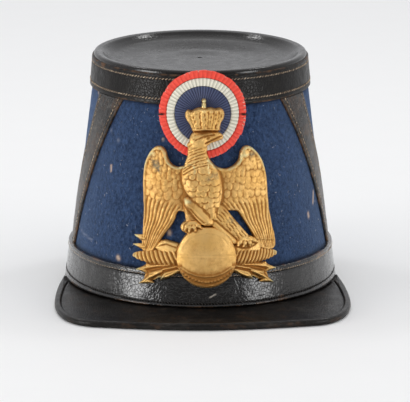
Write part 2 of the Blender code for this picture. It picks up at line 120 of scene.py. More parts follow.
# Seams, measured in from the edge beside them
top_seam_inset = 2.9 * MM
top_low_seam_inset = 3.2 * MM
hem_seam_inset = 2.4 * MM
strip_seam_inset = 3.2 * MM
inner_seam_run = (0.42, 0.995)   # from the foot, as shares of the height

# Stitches of a seam: count, slant, half length, radius and how far they sink in
TOP_STITCHES = (205, 0.55, 0.95 * MM, 0.30 * MM, 0.04 * MM)
TOP_LOW_STITCHES = (205, 0.45, 0.95 * MM, 0.30 * MM, 0.06 * MM)
HEM_STITCHES = (270, 0.50, 0.80 * MM, 0.26 * MM, 0.14 * MM)
FOOT_STITCHES = (290, -0.90, 0.85 * MM, 0.28 * MM, 0.10 * MM)
ARM_STITCHES = (0.12, 0.90 * MM, 0.28 * MM, 0.08 * MM)      # after their count
arm_outer_count = 44
arm_inner_count = 26

# Mesh steps round the cap and up it
cloth_columns = 560
cloth_rows = 120
cloth_inner_rows = 8
band_columns = 680
top_band_columns = 600
band_step = 0.74 * MM
crown_columns = 320
crown_lip_rows = 75
crown_floor_rows = 40
peak_edge_steps = 48
strip_rows = 130
strip_columns = 23

# Damage: its kind, both ends as degrees from the front and millimetres up, its width
RUBBED, BARE = 0, 1
BAND_DAMAGE = (
    (BARE, (2.4, 10.4), (5.0, 12.3), 0.26), (RUBBED, (33.3, 5.8), (34.9, 3.6), 1.8),
    (RUBBED, (-70.0, 3.0), (-62.0, 3.4), 1.3), (RUBBED, (58.0, 23.0), (66.0, 22.4), 1.2))
TOP_DAMAGE = (
    (RUBBED, (-70.0, 140.0), (-62.0, 139.6), 2.2), (RUBBED, (61.0, 126.0), (66.0, 126.0), 1.2))
CLOTH_DAMAGE = (
    (RUBBED, (-71.7, 35.6), (-58.6, 33.7), 0.5), (BARE, (-15.3, 47.9), (-15.0, 46.6), 1.0),
    (BARE, (-49.2, 81.2), (-48.9, 78.2), 0.6), (BARE, (-40.2, 28.4), (-39.6, 27.6), 1.1),
    (RUBBED, (-51.8, 102.0), (-51.6, 101.8), 0.8), (RUBBED, (-45.9, 97.1), (-45.6, 96.9), 1.0),
    (BARE, (-19.7, 100.9), (-19.6, 100.8), 0.6), (BARE, (58.3, 49.4), (58.5, 47.6), 1.0),
    (BARE, (66.8, 60.4), (64.7, 54.0), 0.8), (BARE, (-69.0, 122.4), (-69.0, 121.6), 1.0))
damage_mm_per_degree = 1.4

# Eagle plate
plate_overlap = 8.7 * MM
plate_shift = 1.9 * MM
bow_clearance = 1.2 * MM
leave_band_run = 12.0 * MM
leave_band_start = 2.0 * MM
reach_cockade_run = 10.0 * MM
reach_cockade_start = 12.0 * MM
plate_foot = bottom_band_height - plate_overlap
bird_step = 0.33               # the relief's own values are in millimetres
globe_step = 0.26
outline_steps = 5
plate_rim = 0.35
cast_softness = 0.19
fine_hollow, fine_hollow_depth = 0.50, 0.120
broad_hollow, broad_hollow_depth = 1.9, 0.8
feather_edge = 0.55

# Large odd numbers that scramble the noise, each with its shift where it has one
LATTICE_FACTORS = (73856093, 19349663, 83492791)
SEED_FACTOR = 2654435761
SCRAMBLING = ((15, 2246822519), (13, 3266489917))

# Colours
LEATHER_BLACK = (0.0062, 0.0052, 0.0044)
LEATHER_DUST = (0.115, 0.100, 0.085)
LEATHER_BROWN = (0.105, 0.055, 0.028)
# Painted shade for grooves and creases in the leather.
LEATHER_GROOVE_SHADE = (0.003, 0.0026, 0.0024)
LEATHER_SCRATCH = (0.52, 0.47, 0.40)
WOOL_DEEP = (0.0040, 0.0115, 0.034)
WOOL_HIGH = (0.040, 0.078, 0.176)
WOOL_CLOUD = (0.032, 0.060, 0.130)
WOOL_FLECK = (0.24, 0.27, 0.32)
WOOL_RUBBED = (0.13, 0.15, 0.21)
WOOL_BARE = (0.56, 0.41, 0.30)
# Painted shade for the cloth beside the bands.
WOOL_GROOVE_SHADE = (0.003, 0.005, 0.013)
WOOL_SHEEN = (0.50, 0.68, 1.0, 1.0)
GILT_WARM = (0.74, 0.440, 0.138)
GILT_PALE = (0.80, 0.510, 0.190)
# Brown for tarnish and painted shade in the hollows of the gilt.
GILT_TARNISH_AND_SHADE = (0.40, 0.185, 0.046)
GILT_STAIN = (0.20, 0.17, 0.11)
# Pale gilt for rubbed places and for the painted highlight on the ridges.
GILT_RUBBED_AND_HIGHLIGHT = (0.70, 0.62, 0.33)
RIBBON_FRAYED = (0.75, 0.62, 0.50)
# Painted shade in the cockade's notches.
RIBBON_NOTCH_SHADE = (0.02, 0.012, 0.01)
# Each ribbon's ridge colour and its valley colour, which is painted shade.
RED_RIDGE, RED_VALLEY_SHADE = (0.95, 0.092, 0.055), (0.76, 0.052, 0.032)
WHITE_RIDGE, WHITE_VALLEY_SHADE = (0.95, 0.90, 0.76), (0.52, 0.50, 0.40)
BLUE_RIDGE, BLUE_VALLEY_SHADE = (0.085, 0.105, 0.20), (0.010, 0.014, 0.050)
TAN_THREAD = ((0.56, 0.43, 0.29), (0.13, 0.08, 0.048))
DARK_THREAD = ((0.030, 0.024, 0.020), (0.006, 0.005, 0.005))
CREAM_THREAD = ((0.80, 0.72, 0.58), (0.50, 0.42, 0.32))
BLACK_THREAD = ((0.03, 0.02, 0.02), (0.01, 0.008, 0.008))
PALE_LINT = ((0.62, 0.62, 0.60), (0.20, 0.22, 0.27))
PAPER_LOW, PAPER_HIGH = (0.845, 0.845, 0.836), (0.86, 0.858, 0.848)

# Light and floor: strength of the surroundings, and lamps as name, place, size and power
front_light = 0.23
side_light = 0.76
top_light = 0.92
SURROUNDINGS = (0.965, 0.972, 1.0, 1.0)
LAMPS = (
    ("overhead", (0.0, 2.2, 4.0), (3.2, 3.2), 26.0),
    ("left", (-1.16, -0.60, 0.17), (0.50, 0.46), 7.0),
    ("right", (1.04, -0.74, 0.17), (0.40, 0.46), 4.0))
LIP_LAMPS = (
    ("lip", (0.69, 0.48, 1.25), (0.2, 0.2), 1.7),
    ("lip", (-0.69, 0.48, 1.25), (0.2, 0.2), 1.7))
floor_size = 9.0

# Camera, as fitted to the photograph
camera_distance = 1.3963
camera_elevation = 12.298
camera_azimuth = 1.24
camera_lens = 195.06
sensor_width = 36.0
aim_height = 0.04741
aim_across = 0.0030


# Sizes and shapes of the cap, for single values and for whole arrays

def mix(low, high, share):
    return low + (high - low) * share


def ease(share):
    """Smooth step from 0 to 1."""
    share = np.clip(share, 0.0, 1.0)
    return share * share * (3.0 - 2.0 * share)


def bow(values, share):
    """Curve through three values at shares 0, 0.5 and 1."""
    low, middle, high = values
    return mix(low, high, share) + (2.0 * middle - low - high) * 2.0 * share * (1.0 - share)


def bell(distance, width):
    return np.exp(-(distance / width) ** 2)


def half_sizes(z):
    share = z / height
    return mix(base_width, top_width, share) / 2, mix(base_depth, top_depth, share) / 2


def on_cap(turn, z, stand_off):
    """Points at turns from the front, heights and distances outside the cloth."""
    turn, z, stand_off = np.broadcast_arrays(turn, z, stand_off)
    a, b = half_sizes(z)
    out_x = np.sin(turn) / a
    out_y = -np.cos(turn) / b
    reach = stand_off / np.hypot(out_x, out_y)
    return np.stack([a * np.sin(turn) + out_x * reach,
                     cap_middle_y - b * np.cos(turn) + out_y * reach, z], axis=-1)


wall_cosine = cos(atan2((base_depth - top_depth) / 2, height))


def on_front(across, up, stand_off):
    z = up * wall_cosine
    return on_cap(across / half_sizes(z)[0], z, stand_off)


def rim_z(turn):
    return height - crown_tip * np.cos(turn)


def top_band_low_z(turn):
    return rim_z(turn) - top_band_drop - top_band_height


def front_turn(turn):
    """Turn from the front, from 0 to pi on either side."""
    return np.abs((turn + pi) % (2 * pi) - pi)


def peak_top_z(turn):
    return np.maximum(peak_end_height, peak_root_height * np.maximum(np.cos(turn), 0.0) ** 0.6)


def band_low_z(turn):
    turn = front_turn(turn)
    return np.where(turn > radians(peak_end_turn + 1.0), 0.0, peak_top_z(turn) + gap)


def cockade_middle():
    return rim_z(0.0) / wall_cosine + cockade_over_rim - cockade_radius


def cockade_back(up):
    low = cockade_middle() - cockade_radius
    band_edge = top_band_low_z(0.0) / wall_cosine
    over_band = top_band_thickness + 2.4 * gap
    return mix(2 * gap, over_band, (up - low) / (band_edge - low))


def plate_back(up):
    over_band = gap + bottom_band_thickness + band_hem_rise + gap
    over_cockade = cockade_back(up) + cockade_thickness + gap
    cockade_low = cockade_middle() - cockade_radius
    leave_band = ease((up - bottom_band_height - leave_band_start) / leave_band_run)
    reach_cockade = ease((up - cockade_low + reach_cockade_start) / reach_cockade_run)
    return mix(mix(over_band, bow_clearance, leave_band), over_cockade, reach_cockade)


def lattice_value(lattice, seed):
    """A value from -1 to 1 that belongs to each whole point of a lattice."""
    x, y, z = (lattice[..., axis] * factor for axis, factor in enumerate(LATTICE_FACTORS))
    key = (x ^ y ^ z ^ seed * SEED_FACTOR) & 0xFFFFFFFF
    for shift, factor in SCRAMBLING:
        key = ((key ^ key >> shift) * factor) & 0xFFFFFFFF
    return ((key ^ key >> 16) & 0xFFFF) / 32767.5 - 1.0


def soft_noise(spots, size, seed):
    """Smooth lumps from -1 to 1, of a size, at an array of points."""
    cell = spots / size
    base = np.floor(cell).astype(np.int64)
    part = ease(cell - base)
    total = np.zeros(spots.shape[:-1])
    for corner in product((0, 1), repeat=3):
        weight = np.prod(np.where(np.array(corner) == 1, part, 1.0 - part), axis=-1)
        total += lattice_value(base + np.array(corner), seed) * weight
    return total


# Materials

def new_material(name):
    material = bpy.data.materials.new(name)
    material.use_nodes = True
    return material, material.node_tree, material.node_tree.nodes["Principled BSDF"]


def feed(tree, node, inputs):
    """Links the inputs that come from a node and sets the others."""
    for name, value in inputs.items():
        if isinstance(value, bpy.types.NodeSocket):
            tree.links.new(value, node.inputs[name])
        else:
            node.inputs[name].default_value = value


def add_node(tree, kind, inputs, **settings):
    node = tree.nodes.new("ShaderNode" + kind)
    for name, value in settings.items():
        setattr(node, name, value)
    feed(tree, node, inputs)
    return node


def place_of(tree, stretch=(1.0, 1.0, 1.0)):
    """Object coordinates, drawn out along an axis where its stretch is below 1."""
    spot = add_node(tree, "TexCoord", {}).outputs["Object"]
    return add_node(tree, "Mapping", {"Vector": spot, "Scale": stretch}).outputs["Vector"]


def noise(tree, size, detail=3.0, stretch=(1.0, 1.0, 1.0), roughness=0.55):
    node = add_node(tree, "TexNoise", {
        "Vector": place_of(tree, stretch), "Scale": 1.0 / size, "Detail": detail,
        "Roughness": roughness})
    return node.outputs["Fac"]


def ranged(tree, value, low, high, to_low=0.0, to_high=1.0):
    return add_node(tree, "MapRange", {
        "Value": value, "From Min": low, "From Max": high, "To Min": to_low,
        "To Max": to_high}).outputs["Result"]


def sums(tree, operation, a, b):
    return add_node(tree, "Math", {0: a, 1: b}, operation=operation).outputs["Value"]


def tint(tree, share, a, b):
    """Colour a where the share is 0 and colour b where it is 1."""
    a, b = [c if isinstance(c, bpy.types.NodeSocket) else (*c, 1.0) for c in (a, b)]
    node = add_node(tree, "Mix", {0: share, 6: a, 7: b}, data_type="RGBA")
    return node.outputs[2]


def mark_of(tree, name):
    """A value that the mesh carries at its points."""
    return add_node(tree, "Attribute", {}, attribute_name=name).outputs["Fac"]


def bumps(tree, shader, *layers):
    """Chains bump maps, each a height value and a depth in metres."""
    normal = None
    for value, depth in layers:
        inputs = {"Height": value, "Strength": 1.0, "Distance": depth}
        if normal is not None:
            inputs["Normal"] = normal
        normal = add_node(tree, "Bump", inputs).outputs["Normal"]
    for name in ("Normal", "Coat Normal"):
        tree.links.new(normal, shader.inputs[name])


def leather(name, gloss, crackle, dust, glaze, streaks=(1.0, 1.0, 1.0)):
    """Old glazed leather: black, crackled, greyed where rubbed, brown where worn through and
    darkened with painted shade in its grooves.
    """
    material, tree, shader = new_material(name)
    patches = ranged(tree, noise(tree, 16 * MM, 4.0, streaks), 0.40, 0.66)
    scuffs = ranged(tree, noise(tree, 3.2 * MM, 8.0, streaks, 0.8), 0.49, 0.64)
    rubbed = sums(tree, "MULTIPLY", patches, ranged(tree, scuffs, 0.0, 1.0, 0.08, 1.0))
    colour = tint(tree, sums(tree, "MULTIPLY", rubbed, dust), LEATHER_BLACK, LEATHER_DUST)
    worn = ranged(tree, sums(tree, "MULTIPLY", mark_of(tree, "wear"),
                             ranged(tree, noise(tree, 3 * MM, 4.0), 0.30, 0.62)), 0.15, 0.85)
    colour = tint(tree, worn, colour, LEATHER_BROWN)
    # Painted shade in grooves, creases and seams.
    colour = tint(tree, mark_of(tree, "groove_shade"), colour, LEATHER_GROOVE_SHADE)
    colour = tint(tree, mark_of(tree, "scratch"), colour, LEATHER_SCRATCH)
    rough = sums(tree, "ADD", ranged(tree, noise(tree, 5 * MM, 5.0), 0.3, 0.7, gloss - 0.06,
                                     gloss + 0.12), sums(tree, "MULTIPLY", worn, 0.25))
    rough = sums(tree, "ADD", rough, sums(tree, "MULTIPLY", rubbed, 0.15))
    feed(tree, shader, {"Base Color": colour, "Roughness": rough, "Specular IOR Level": 0.10,
                        "Coat Weight": glaze, "Coat Roughness": 0.12})
    cracks = add_node(tree, "TexVoronoi", {
        "Vector": place_of(tree), "Scale": 1.0 / (1.9 * MM), "Randomness": 1.0},
        feature="DISTANCE_TO_EDGE").outputs["Distance"]
    creases = ranged(tree, cracks, 0.0, 0.16)
    bumps(tree, shader, (creases, crackle * MM),
          (noise(tree, 3.0 * MM, 5.0, streaks, 0.65), 1.0 * crackle * MM))
    return material


def felt():
    """Napped blue wool: mottled, with a pale sheen at grazing angles, moth-worn spots and painted
    shade beside the bands.
    """
    material, tree, shader = new_material("cloth_blue")
    upright = (1.0, 1.0, 0.75)
    nap = noise(tree, 2.0 * MM, 8.0, upright, 0.8)
    clouds = noise(tree, 22 * MM, 3.0)
    colour = tint(tree, ranged(tree, nap, 0.38, 0.64), WOOL_DEEP, WOOL_HIGH)
    colour = tint(tree, ranged(tree, clouds, 0.35, 0.75, 0.0, 0.35), colour, WOOL_CLOUD)
    flecks = ranged(tree, noise(tree, 1.1 * MM, 2.0, (1.0, 1.0, 0.7)), 0.68, 0.75)
    colour = tint(tree, sums(tree, "MULTIPLY", flecks, 0.7), colour, WOOL_FLECK)
    colour = tint(tree, mark_of(tree, "wear"), colour, WOOL_RUBBED)
    colour = tint(tree, mark_of(tree, "bare"), colour, WOOL_BARE)
    colour = tint(tree, mark_of(tree, "groove_shade"), colour, WOOL_GROOVE_SHADE)
    feed(tree, shader, {"Base Color": colour, "Roughness": 0.92, "Specular IOR Level": 0.15,
                        "Sheen Weight": 0.34, "Sheen Roughness": 0.45, "Sheen Tint": WOOL_SHEEN})
    bumps(tree, shader, (nap, 0.55 * MM), (noise(tree, 0.28 * MM, 2.0), 0.12 * MM))
    return material


def brass():
    """Fire-gilt brass: bright on the high places, brown in the hollows from tarnish mixed with
    painted shade, silvery where rubbed and pale on the ridges as a painted highlight.
    """
    material, tree, shader = new_material("brass_gilt")
    hollow_tarnish_and_shade = mark_of(tree, "hollow_tarnish_and_shade")
    uneven = noise(tree, 3.0 * MM, 5.0, roughness=0.65)
    broad = noise(tree, 11 * MM, 3.0)
    colour = tint(tree, ranged(tree, broad, 0.35, 0.65), GILT_WARM, GILT_PALE)
    # Tarnish and painted shade: the hollow mark darkens the gilt towards brown in hollows and under
    # feather tips.
    tarnish_and_shade_share = ranged(tree, sums(tree, "ADD", hollow_tarnish_and_shade, ranged(tree, uneven, 0.3, 0.7, -0.22, 0.22)),
                  0.10, 0.80)
    colour = tint(tree, tarnish_and_shade_share, colour, GILT_TARNISH_AND_SHADE)
    stained = ranged(tree, sums(tree, "MULTIPLY", mark_of(tree, "stain"),
                                ranged(tree, uneven, 0.35, 0.6)), 0.1, 0.8)
    colour = tint(tree, stained, colour, GILT_STAIN)
    # Rubbed gilt, partly real wear and partly a painted highlight on the ridges.
    rubbed = ranged(tree, sums(tree, "MULTIPLY", mark_of(tree, "wear"),
                               ranged(tree, uneven, 0.30, 0.60)), 0.2, 0.9)
    colour = tint(tree, rubbed, colour, GILT_RUBBED_AND_HIGHLIGHT)
    rough = sums(tree, "ADD", ranged(tree, uneven, 0.3, 0.7, 0.40, 0.56),
                 sums(tree, "MULTIPLY", tarnish_and_shade_share, 0.18))
    feed(tree, shader, {"Base Color": colour, "Roughness": rough, "Metallic": 1.0})
    bumps(tree, shader, (noise(tree, 1.2 * MM, 5.0, roughness=0.7), 0.26 * MM),
          (noise(tree, 3.5 * MM, 2.0), 0.20 * MM))
    return material


def ribbon(name, ridge, valley_shade):
    """Silk ribbon with fine threads across its pleats, painted shade in the pleat valleys and in the
    notches.
    """
    material, tree, shader = new_material(name)
    threads = noise(tree, 0.35 * MM, 3.0)
    # Painted shade: the valley colour where the fold mark is low.
    colour = tint(tree, mark_of(tree, "fold_and_shade"), valley_shade, ridge)
    dulled = tuple(0.72 * part for part in ridge)
    colour = tint(tree, ranged(tree, noise(tree, 2.5 * MM, 4.0), 0.45, 0.75, 0.0, 0.6), colour,
                  dulled)
    colour = tint(tree, mark_of(tree, "wear"), colour, RIBBON_FRAYED)
    colour = tint(tree, mark_of(tree, "groove_shade"), colour, RIBBON_NOTCH_SHADE)
    feed(tree, shader, {"Base Color": colour, "Roughness": 0.55, "Specular IOR Level": 0.35})
    bumps(tree, shader, (threads, 0.05 * MM))
    return material


def thread(name, light, dark):
    """Waxed thread, its colour changing from stitch to stitch."""
    material, tree, shader = new_material(name)
    share = ranged(tree, noise(tree, 2.4 * MM, 2.0), 0.36, 0.64)
    feed(tree, shader, {"Base Color": tint(tree, share, dark, light), "Roughness": 0.7})
    bumps(tree, shader, (noise(tree, 0.3 * MM, 2.0, (1.0, 1.0, 0.3)), 0.05 * MM))
    return material


def paper():
    material, tree, shader = new_material("floor_pale")
    colour = tint(tree, noise(tree, 40 * MM, 3.0), PAPER_LOW, PAPER_HIGH)
    feed(tree, shader, {"Base Color": colour, "Roughness": 0.8, "Specular IOR Level": 0.1})
    return material


# Meshes

def grid_faces(rows, columns, closed_round=False, closed_section=False):
    row = np.arange(rows if closed_section else rows - 1)
    column = np.arange(columns if closed_round else columns - 1)
    row, column = np.meshgrid(row, column, indexing="ij")
    next_row = (row + 1) % rows * columns
    next_column = (column + 1) % columns
    row = row * columns
    corners = (row + column, row + next_column, next_row + next_column, next_row + column)
    return np.stack(corners, axis=-1).reshape(-1, 4)


def add_piece(name, spots, faces, material, replaced=(), marks=None, crease=45.0,
              merge=0.0):
    """A mesh that rides on the cap, with values at its points for its material."""
    mesh = bpy.data.meshes.new(name)
    mesh.from_pydata(spots.reshape(-1, 3).tolist(), [], [list(face) for face in faces])
    for mark, values in (marks or {}).items():
        layer = mesh.attributes.new(mark, "FLOAT", "POINT")
        layer.data.foreach_set("value", np.ravel(values).astype(np.float32))
    work = bmesh.new()
    work.from_mesh(mesh)
    if merge:
        bmesh.ops.remove_doubles(work, verts=work.verts, dist=merge)
    bmesh.ops.recalc_face_normals(work, faces=work.faces)
    work.to_mesh(mesh)
    work.free()
    mesh.materials.append(material)
    mesh.shade_smooth()
    mesh.set_sharp_from_angle(angle=radians(crease))
    item = bpy.data.objects.new(name, mesh)
    bpy.context.scene.collection.objects.link(item)
    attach(item, "root")
    if replaced:
        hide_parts(*replaced)
    return item


def section_rows(corners, radius, spacing):
    """Closed sections, as corners x columns x 2, with rounded corners and split sides."""
    rows = corners
    for cut in (radius, 0.4 * radius):
        following = np.roll(rows, -1, axis=0)
        length = np.linalg.norm(following - rows, axis=-1, keepdims=True)
        share = np.minimum(cut / np.maximum(length, 1e-9), 0.3)
        pairs = [mix(rows, following, share), mix(rows, following, 1.0 - share)]
        rows = np.stack(pairs, axis=1).reshape(-1, *rows.shape[1:])
    split = []
    for near, far in zip(rows, np.roll(rows, -1, axis=0)):
        count = max(1, ceil(np.linalg.norm(far - near, axis=-1).max() / spacing))
        split += [mix(near, far, i / count) for i in range(count)]
    return np.array(split)


def corner_array(corners, columns):
    """Corners whose stand-offs and heights are numbers or arrays, as one array."""
    return np.array([[np.broadcast_to(part, columns) for part in corner]
                     for corner in corners]).transpose(0, 2, 1)


def round_turns(columns):
    return 2 * pi * np.arange(columns) / columns


def cloth_wall(material):
    """Tapered oval tube of cloth, slightly uneven, fine outside and plain inside."""
    columns, rows, inner_rows = cloth_columns, cloth_rows, cloth_inner_rows
    turn = round_turns(columns)
    low = band_low_z(turn) + bottom_band_thickness + gap
    high = rim_z(turn) - top_band_drop - gap
    shares = np.concatenate([np.linspace(0.0, 1.0, rows), np.linspace(1.0, 0.0, inner_rows)])
    z = mix(low, high, shares[:, None])
    outside = (np.arange(rows + inner_rows) < rows)[:, None]
    stand_off = np.where(outside, 0.0, -cloth_thickness) + 0.0 * z
    spots = on_cap(turn, z, stand_off)
    uneven = 0.16 * soft_noise(spots, 24 * MM, 3) + 0.07 * soft_noise(spots, 4 * MM, 4) - 0.12
    spots = on_cap(turn, z, stand_off + np.where(outside, uneven * MM, 0.0))
    wear, bare = damage(CLOTH_DAMAGE, turn, z)
    # Painted shade on the cloth just beside the top band and the bottom band.
    near_top = bell(np.maximum(top_band_low_z(turn) - z, 0.0), 1.2 * MM)
    near_foot = bell(np.maximum(z - bottom_band_height, 0.0), 1.2 * MM)
    marks = {"wear": np.where(outside, wear, 0.0), "bare": np.where(outside, bare, 0.0),
             "groove_shade": np.where(outside, 0.8 * np.maximum(near_top, near_foot), 0.0)}
    return add_piece("cloth_wall", spots, grid_faces(rows + inner_rows, columns, True, True),
                     material, ["cloth_body"], marks)


def damage(table, turn, z):
    """Rubbed lines and bare spots, as shares at turns and heights."""
    degrees = np.degrees((turn + pi) % (2 * pi) - pi)
    layers = [np.zeros(z.shape), np.zeros(z.shape)]
    for kind, start, end, width in table:
        across = (degrees - start[0]) * damage_mm_per_degree
        up = z / MM - start[1]
        run = np.array([(end[0] - start[0]) * damage_mm_per_degree, end[1] - start[1]])
        share = np.clip((across * run[0] + up * run[1]) / max(run.dot(run), 1e-9), 0.0, 1.0)
        away = np.hypot(across - share * run[0], up - share * run[1])
        layers[kind] = np.maximum(layers[kind], np.minimum(1.3 * bell(away, width), 1.0))
    return layers


def leather_marks(spots, wear, groove_shade, scratch=0.0):
    """Wear is broken up so that it comes and goes along an edge; the groove mark is painted shade.
    """
    patchy = ease(0.55 + 0.9 * soft_noise(spots, 9 * MM, 11) + 0.5 * soft_noise(spots, 2 * MM, 12))
    return {"wear": wear * patchy, "groove_shade": np.clip(groove_shade, 0.0, 1.0),
            "scratch": scratch + np.zeros(spots.shape[:-1])}


def seam_z(turn):
    """Height of the bottom band's lower seam."""
    return mix(6.4 * MM, 5.9 * MM, np.maximum(np.cos(turn), 0.0))


def bottom_strap(material):
    """Wide glazed strap with a folded hem above and a seamed edge below."""
    columns = band_columns
    turn = round_turns(columns)
    outer = gap + bottom_band_thickness
    hem_foot = bottom_band_height - band_hem_height
    low = band_low_z(turn)
    foot_top = low + bottom_band_thickness
    corners = corner_array((
        (-cloth_thickness, low), (outer - 0.4 * bottom_band_thickness, low),
        (outer, low + 0.4 * bottom_band_thickness), (outer, hem_foot),
        (outer + band_hem_rise, hem_foot + band_hem_rise),
        (outer + band_hem_rise, bottom_band_height - band_hem_rise),
        (outer, bottom_band_height), (gap, bottom_band_height),
        (gap, foot_top), (-cloth_thickness, foot_top)), columns)
    rows = section_rows(corners, 0.35 * MM, band_step)
    stand_off, z = rows[..., 0], rows[..., 1]
    spots = on_cap(turn, z, stand_off)
    outside = ease((stand_off - gap) / MM - 1.0)
    front = np.maximum(np.cos(turn), 0.0) ** 2
    seam = z - seam_z(turn)
    hem = z - hem_foot
    creased = 0.10 * soft_noise(spots, 2.6 * MM, 21) + 0.14 * soft_noise(spots, 9 * MM, 22)
    relief = (creased * mix(0.55, 1.0, front) - 0.55 * bell(seam, 0.55 * MM)
              - 0.30 * bell(hem, 0.45 * MM) + 0.22 * bell(seam + 1.5 * MM, 1.4 * MM)) * MM
    spots = on_cap(turn, z, stand_off + outside * relief)
    wear = (bell(bottom_band_height - z, 0.9 * MM) + 0.5 * bell(hem - 0.6 * MM, 0.5 * MM)
            + 0.7 * bell(seam + 0.9 * MM, 0.6 * MM) + 0.5 * bell(z - low, 1.2 * MM))
    # Painted shade in the seam groove and under the hem.
    groove_shade = outside * (bell(seam, 0.40 * MM) + 0.8 * bell(hem + 0.15 * MM, 0.35 * MM))
    rubbed, scratch = damage(BAND_DAMAGE, turn, z)
    return add_piece("bottom_strap", spots, grid_faces(len(rows), columns, True, True), material,
                     ["bottom_band"],
                     leather_marks(spots, wear + 1.6 * rubbed, groove_shade, scratch))


def top_strap(material):
    """Strap round the top, leaning out, with a thin worn edge above."""
    columns = top_band_columns
    turn = round_turns(columns)
    high = rim_z(turn) - top_band_drop
    low = high - top_band_height
    corners = corner_array((
        (gap, low), (gap + top_band_thickness, low),
        (gap + top_band_lean + top_band_thickness, high), (gap + top_band_lean, high)), columns)
    rows = section_rows(corners, 0.30 * MM, band_step)
    stand_off, z = rows[..., 0], rows[..., 1]
    spots = on_cap(turn, z, stand_off)
    outside = ease((stand_off - gap) / MM - 0.5)
    down = high - z
    up = z - low
    seam = down - top_seam_inset
    low_seam = up - top_low_seam_inset
    relief = (0.09 * soft_noise(spots, 2.4 * MM, 31) + 0.12 * soft_noise(spots, 8 * MM, 32)
              - 0.22 * bell(seam, 0.6 * MM) - 0.22 * bell(low_seam, 0.6 * MM)
              + 0.12 * bell(down - 1.2 * MM, 0.8 * MM)) * MM
    spots = on_cap(turn, z, stand_off + outside * relief)
    wear = bell(down, 1.0 * MM) + bell(up, 0.9 * MM) + 0.35 * bell(seam, 0.8 * MM)
    # Painted shade in the two seam grooves.
    groove_shade = outside * (0.5 * bell(seam, 0.5 * MM) + 0.5 * bell(low_seam, 0.5 * MM))
    rubbed, scratch = damage(TOP_DAMAGE, turn, z)
    return add_piece("top_strap", spots, grid_faces(len(rows), columns, True, True), material,
                     ["top_band"],
                     leather_marks(spots, wear + 1.6 * rubbed, groove_shade, scratch))


def crown_section():
    """Stand-off and depth below the ridge, from the lip's outer foot to the floor's edge."""
    outer = gap + top_band_lean + top_band_thickness - lip_set_back
    lip_width = outer - lip_inner
    soft_slope = 2.2 * dish_slope
    knots = np.array((
        (outer, lip_low + 0.25 * MM), (outer, 0.55 * lip_low),
        (outer - 0.15 * lip_width, 0.14 * lip_low),
        (outer - 0.42 * lip_width, 0.0), (outer - 0.75 * lip_width, 0.10 * lip_low),
        (wall_inner + 0.7 * crown_thickness, 0.35 * crown_thickness),
        (wall_inner - 0.12 * soft_slope, 0.36 * dish_depth),
        (wall_inner - 0.50 * soft_slope, 0.68 * dish_depth),
        (wall_inner - 1.1 * soft_slope, 0.87 * dish_depth),
        (wall_inner - 2.0 * soft_slope, 0.97 * dish_depth),
        (wall_inner - 3.0 * soft_slope, dish_depth)))
    along = np.linspace(0.0, len(knots) - 1.0, crown_lip_rows)
    return [open_curve(knots[:, part], along)[:, None] for part in (0, 1)]


def crown_leather(material):
    """Moulded disc: a rounded lip, a soft slope and a wide flat floor with a vent."""
    columns = crown_columns
    turn = round_turns(columns)
    stand_off, depth = crown_section()
    lip = on_cap(turn, rim_z(turn) - depth, stand_off)
    floor_ring = lip[-1]
    vent = np.array([0.0, cap_middle_y + vent_set_back * top_depth / 2, height - dish_depth])
    closing = np.linspace(0.0, 1.0, crown_floor_rows)[1:, None, None] ** 0.9
    vent_edge = vent + 0.5 * vent_diameter * np.stack(
        [np.sin(turn), -np.cos(turn), np.zeros(columns)], axis=-1)
    floor = mix(floor_ring, vent_edge, closing)
    floor[..., 2] = mix(floor_ring[:, 2], vent[2], ease(closing[..., 0])) + 0.0 * floor[..., 2]
    top = np.concatenate([lip, floor])
    row = np.arange(len(top))[:, None]
    top[..., 2] += (0.28 * MM * soft_noise(top, 34 * MM, 41) * ease((len(top) - 1 - row) / 20.0)
                    * ease((row - 30) / 20.0))
    under_rows = (
        vent_edge - (0.0, 0.0, crown_thickness),
        on_cap(turn, rim_z(turn) - dish_depth - crown_thickness, floor_edge + 0.5 * crown_thickness),
        on_cap(turn, rim_z(turn) - lip_low - crown_thickness, lip_inner),
        on_cap(turn, rim_z(turn) - lip_low - 0.25 * MM, lip_inner))
    spots = np.concatenate([top, np.stack(under_rows)])
    ridge = bell(np.arange(len(spots)) - 20, 9.0)[:, None] * np.ones(columns)
    # Painted shade in the vent hole.
    groove_shade = bell(np.arange(len(spots)) - len(top), 1.4)[:, None] * np.ones(columns)
    return add_piece("crown_leather", spots, grid_faces(len(spots), columns, True, True), material,
                     ["crown"], leather_marks(spots, 0.30 * ridge, groove_shade))


def through(a, b, c, d, share):
    """Smooth way from b to c, where a lies before them and d after them."""
    return 0.5 * (2 * b + (c - a) * share + (2 * a - 5 * b + 4 * c - d) * share ** 2
                  + (3 * b - a - 3 * c + d) * share ** 3)


def open_curve(knots, along):
    """Smooth curve through knots, read at places counted in knots."""
    padded = np.concatenate([[2 * knots[0] - knots[1]], knots, [2 * knots[-1] - knots[-2]]])
    first = np.minimum(along.astype(int), len(knots) - 2)
    return through(*(padded[first + i] for i in range(4)), along - first)


def peak_outline():
    """Points along the whole edge of the peak, from its left end to its right one."""
    half_width = base_width / 2 + peak_side_reach
    reach = base_depth / 2 + peak_front_reach
    knots = [Vector((across * half_width, -forward * reach, 0.0)) for across, forward in PEAK_EDGE]
    right = []
    for first in range(0, len(knots) - 1, 3):
        right += interpolate_bezier(*knots[first:first + 4], peak_edge_steps + 1)[:-1]
    right.append(knots[-1])
    left = [Vector((-p.x, p.y, 0.0)) for p in right[:-1]]
    return np.array([spot[:2] for spot in left + right[::-1]])


